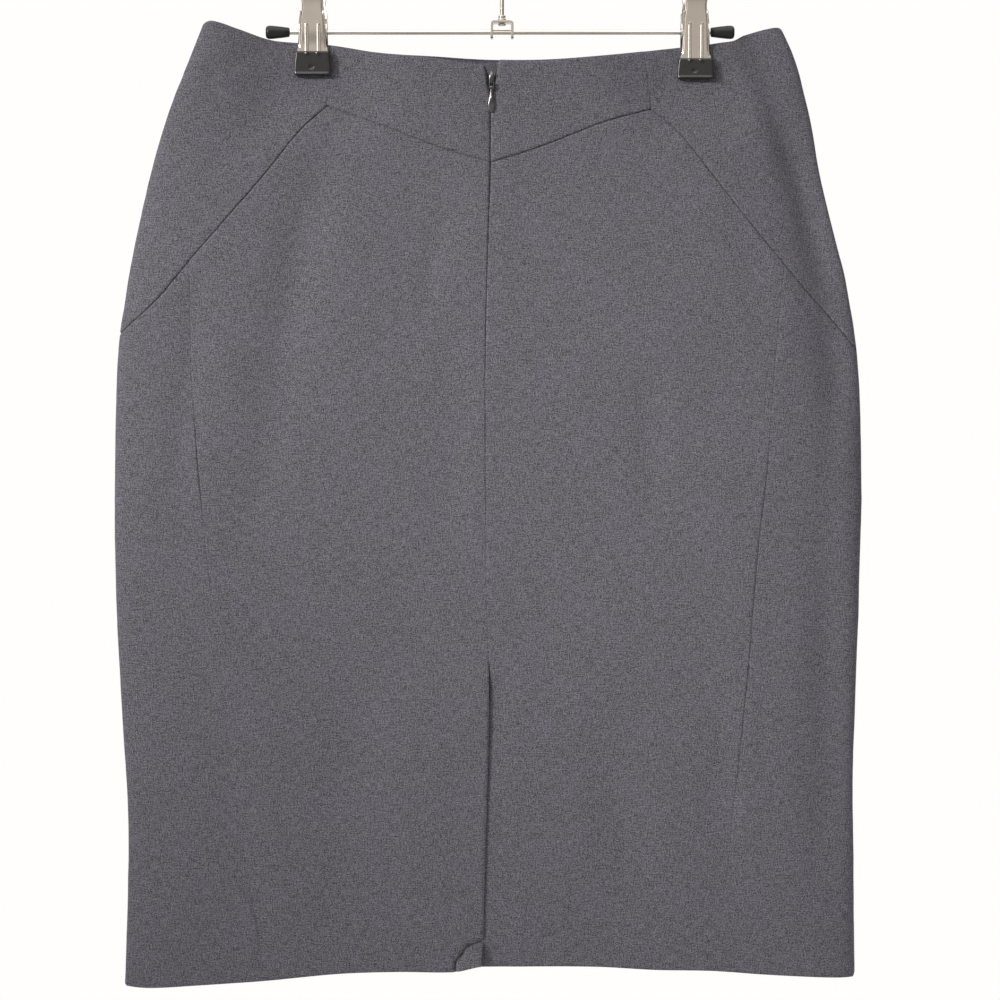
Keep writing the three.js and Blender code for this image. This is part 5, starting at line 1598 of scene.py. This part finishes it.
def make_world():
    world = bpy.data.worlds.new("pale_studio")
    bpy.context.scene.world = world
    board = Board(world)
    way = board.node("ShaderNodeTexCoord", {}, {}, "Generated")
    aside, ahead, up = (board.node("ShaderNodeSeparateXYZ", {}, {0: way}, i) for i in range(3))
    soft = board.mix(up.stepped(-0.8, 0.7), STUDIO["lit_low"], STUDIO["lit_high"])
    low = board.mix(up.stepped(-0.7, -0.2), STUDIO["floor"], STUDIO["middle"])
    mirrored = board.mix(up.stepped(0.35, 0.8), low, STUDIO["ceiling"])
    level = up.size().stepped(0.6, 0.4)
    panes = (aside * 13.0 + 0.7).wave().stepped(0.2, 0.7) * ahead.stepped(0.1, -0.5)
    mirrored = board.mix(panes * 0.3, mirrored, STUDIO["pane"])
    dark_sides = aside.size().stepped(0.42, 0.5) * level
    mirrored = board.mix(dark_sides * 0.8, mirrored, STUDIO["side"])
    left_window = aside.stepped(-0.7, -0.77) * aside.stepped(-0.95, -0.89) * level
    right_window = aside.stepped(0.74, 0.8) * aside.stepped(0.94, 0.88) * level
    windows = (left_window + right_window * 0.3).limited()
    mirrored = board.mix(windows, mirrored, STUDIO["window"])
    dark_band = ahead.stepped(-0.05, 0.3) * ahead.stepped(0.85, 0.6)
    mirrored = board.mix(dark_band * 0.85, mirrored, STUDIO["band"])
    lit, shine, seen = (
        board.node("ShaderNodeBackground", {}, {"Color": colour, "Strength": strength})
        for colour, strength in ((soft, STUDIO["lit"]), (mirrored, STUDIO["shine"]), (STUDIO["seen"], 1.0)))
    glossy = board.node("ShaderNodeLightPath", {}, {}, "Is Glossy Ray")
    eye = board.node("ShaderNodeLightPath", {}, {}, "Is Camera Ray")
    around = board.node("ShaderNodeMixShader", {}, {0: glossy, 1: lit, 2: shine})
    whole = board.node("ShaderNodeMixShader", {}, {0: eye, 1: around, 2: seen})
    board.node("ShaderNodeOutputWorld", {}, {"Surface": whole})


make_world()
bpy.context.scene.view_settings.view_transform = "Standard"
print("world:", bpy.context.scene.world.name)

# %% [markdown]
# The main light is a far spot, high on the left, so that each trough has a light and a dark side
# and the vent's flap throws a thin shadow to its right. Its narrow cone fades towards its edge,
# which leaves the hem a little darker than the hips. Three suns fill in what it leaves: a soft one
# from the front like the sky, a weak one from the right that lifts the right-hand slopes, and one
# that lights the far side of the skirt. Chrome would show a sun as a hard white spot, so the suns
# are kept out of its reflections.


# %% Lights
def add_light(name, kind, way, power, colour):
    data = bpy.data.lights.new(name, kind)
    data.energy = power
    data.color = colour
    light = bpy.data.objects.new(name, data)
    light.rotation_euler = Vector(way).to_track_quat("-Z", "Y").to_euler()
    bpy.context.scene.collection.objects.link(light)
    return light


def add_sun(name, way, strength, softness, colour):
    sun = add_light(name, "SUN", way, strength, colour)
    sun.data.angle = math.radians(softness)
    sun.visible_glossy = False


def add_spot(name, place, target, cone, power, colour):
    spot = add_light(name, "SPOT", Vector(target) - Vector(place), power, colour)
    spot.location = place
    spot.data.spot_size = math.radians(cone)
    spot.data.spot_blend = 1.0
    spot.data.shadow_soft_size = 0.32


add_spot("key", (-4.1, -2.85, 1.3), (0.07, 0.0, -0.33), 11.2, 1190.0, (1.0, 0.985, 0.955))
add_sun("sky", (0.7, 1.0, -0.6), 0.62, 24.0, (0.98, 0.99, 1.0))
add_sun("side", (-1.0, 0.22, -0.25), 0.5, 12.0, (1.0, 1.0, 1.0))
add_sun("behind", (-0.6, -1.0, -0.55), 2.2, 24.0, (1.0, 0.99, 0.97))

# %% [markdown]
# The skirt hangs well above a plain pale floor, which the camera only sees in views from above.

# %% Floor
FLOOR = {"z": -1.3, "half": 1.8, "dark": grey(0.9, 0.01), "light": grey(0.93, 0.01)}


def add_floor():
    form = bmesh.new()
    bmesh.ops.create_grid(form, x_segments=1, y_segments=1, size=FLOOR["half"])
    bmesh.ops.translate(form, vec=(0, 0, FLOOR["z"]), verts=form.verts)
    mesh = bpy.data.meshes.new("floor")
    form.to_mesh(mesh)
    form.free()
    material, board, place = new_finish("pale_floor")
    cloud = board.noise(place, 3.0, 3.0)
    colour = board.mix(cloud, FLOOR["dark"], FLOOR["light"])
    close_finish(board, {"Base Color": colour, "Roughness": 0.6})
    mesh.materials.append(material)
    floor = bpy.data.objects.new("floor", mesh)
    bpy.context.scene.collection.objects.link(floor)


add_floor()
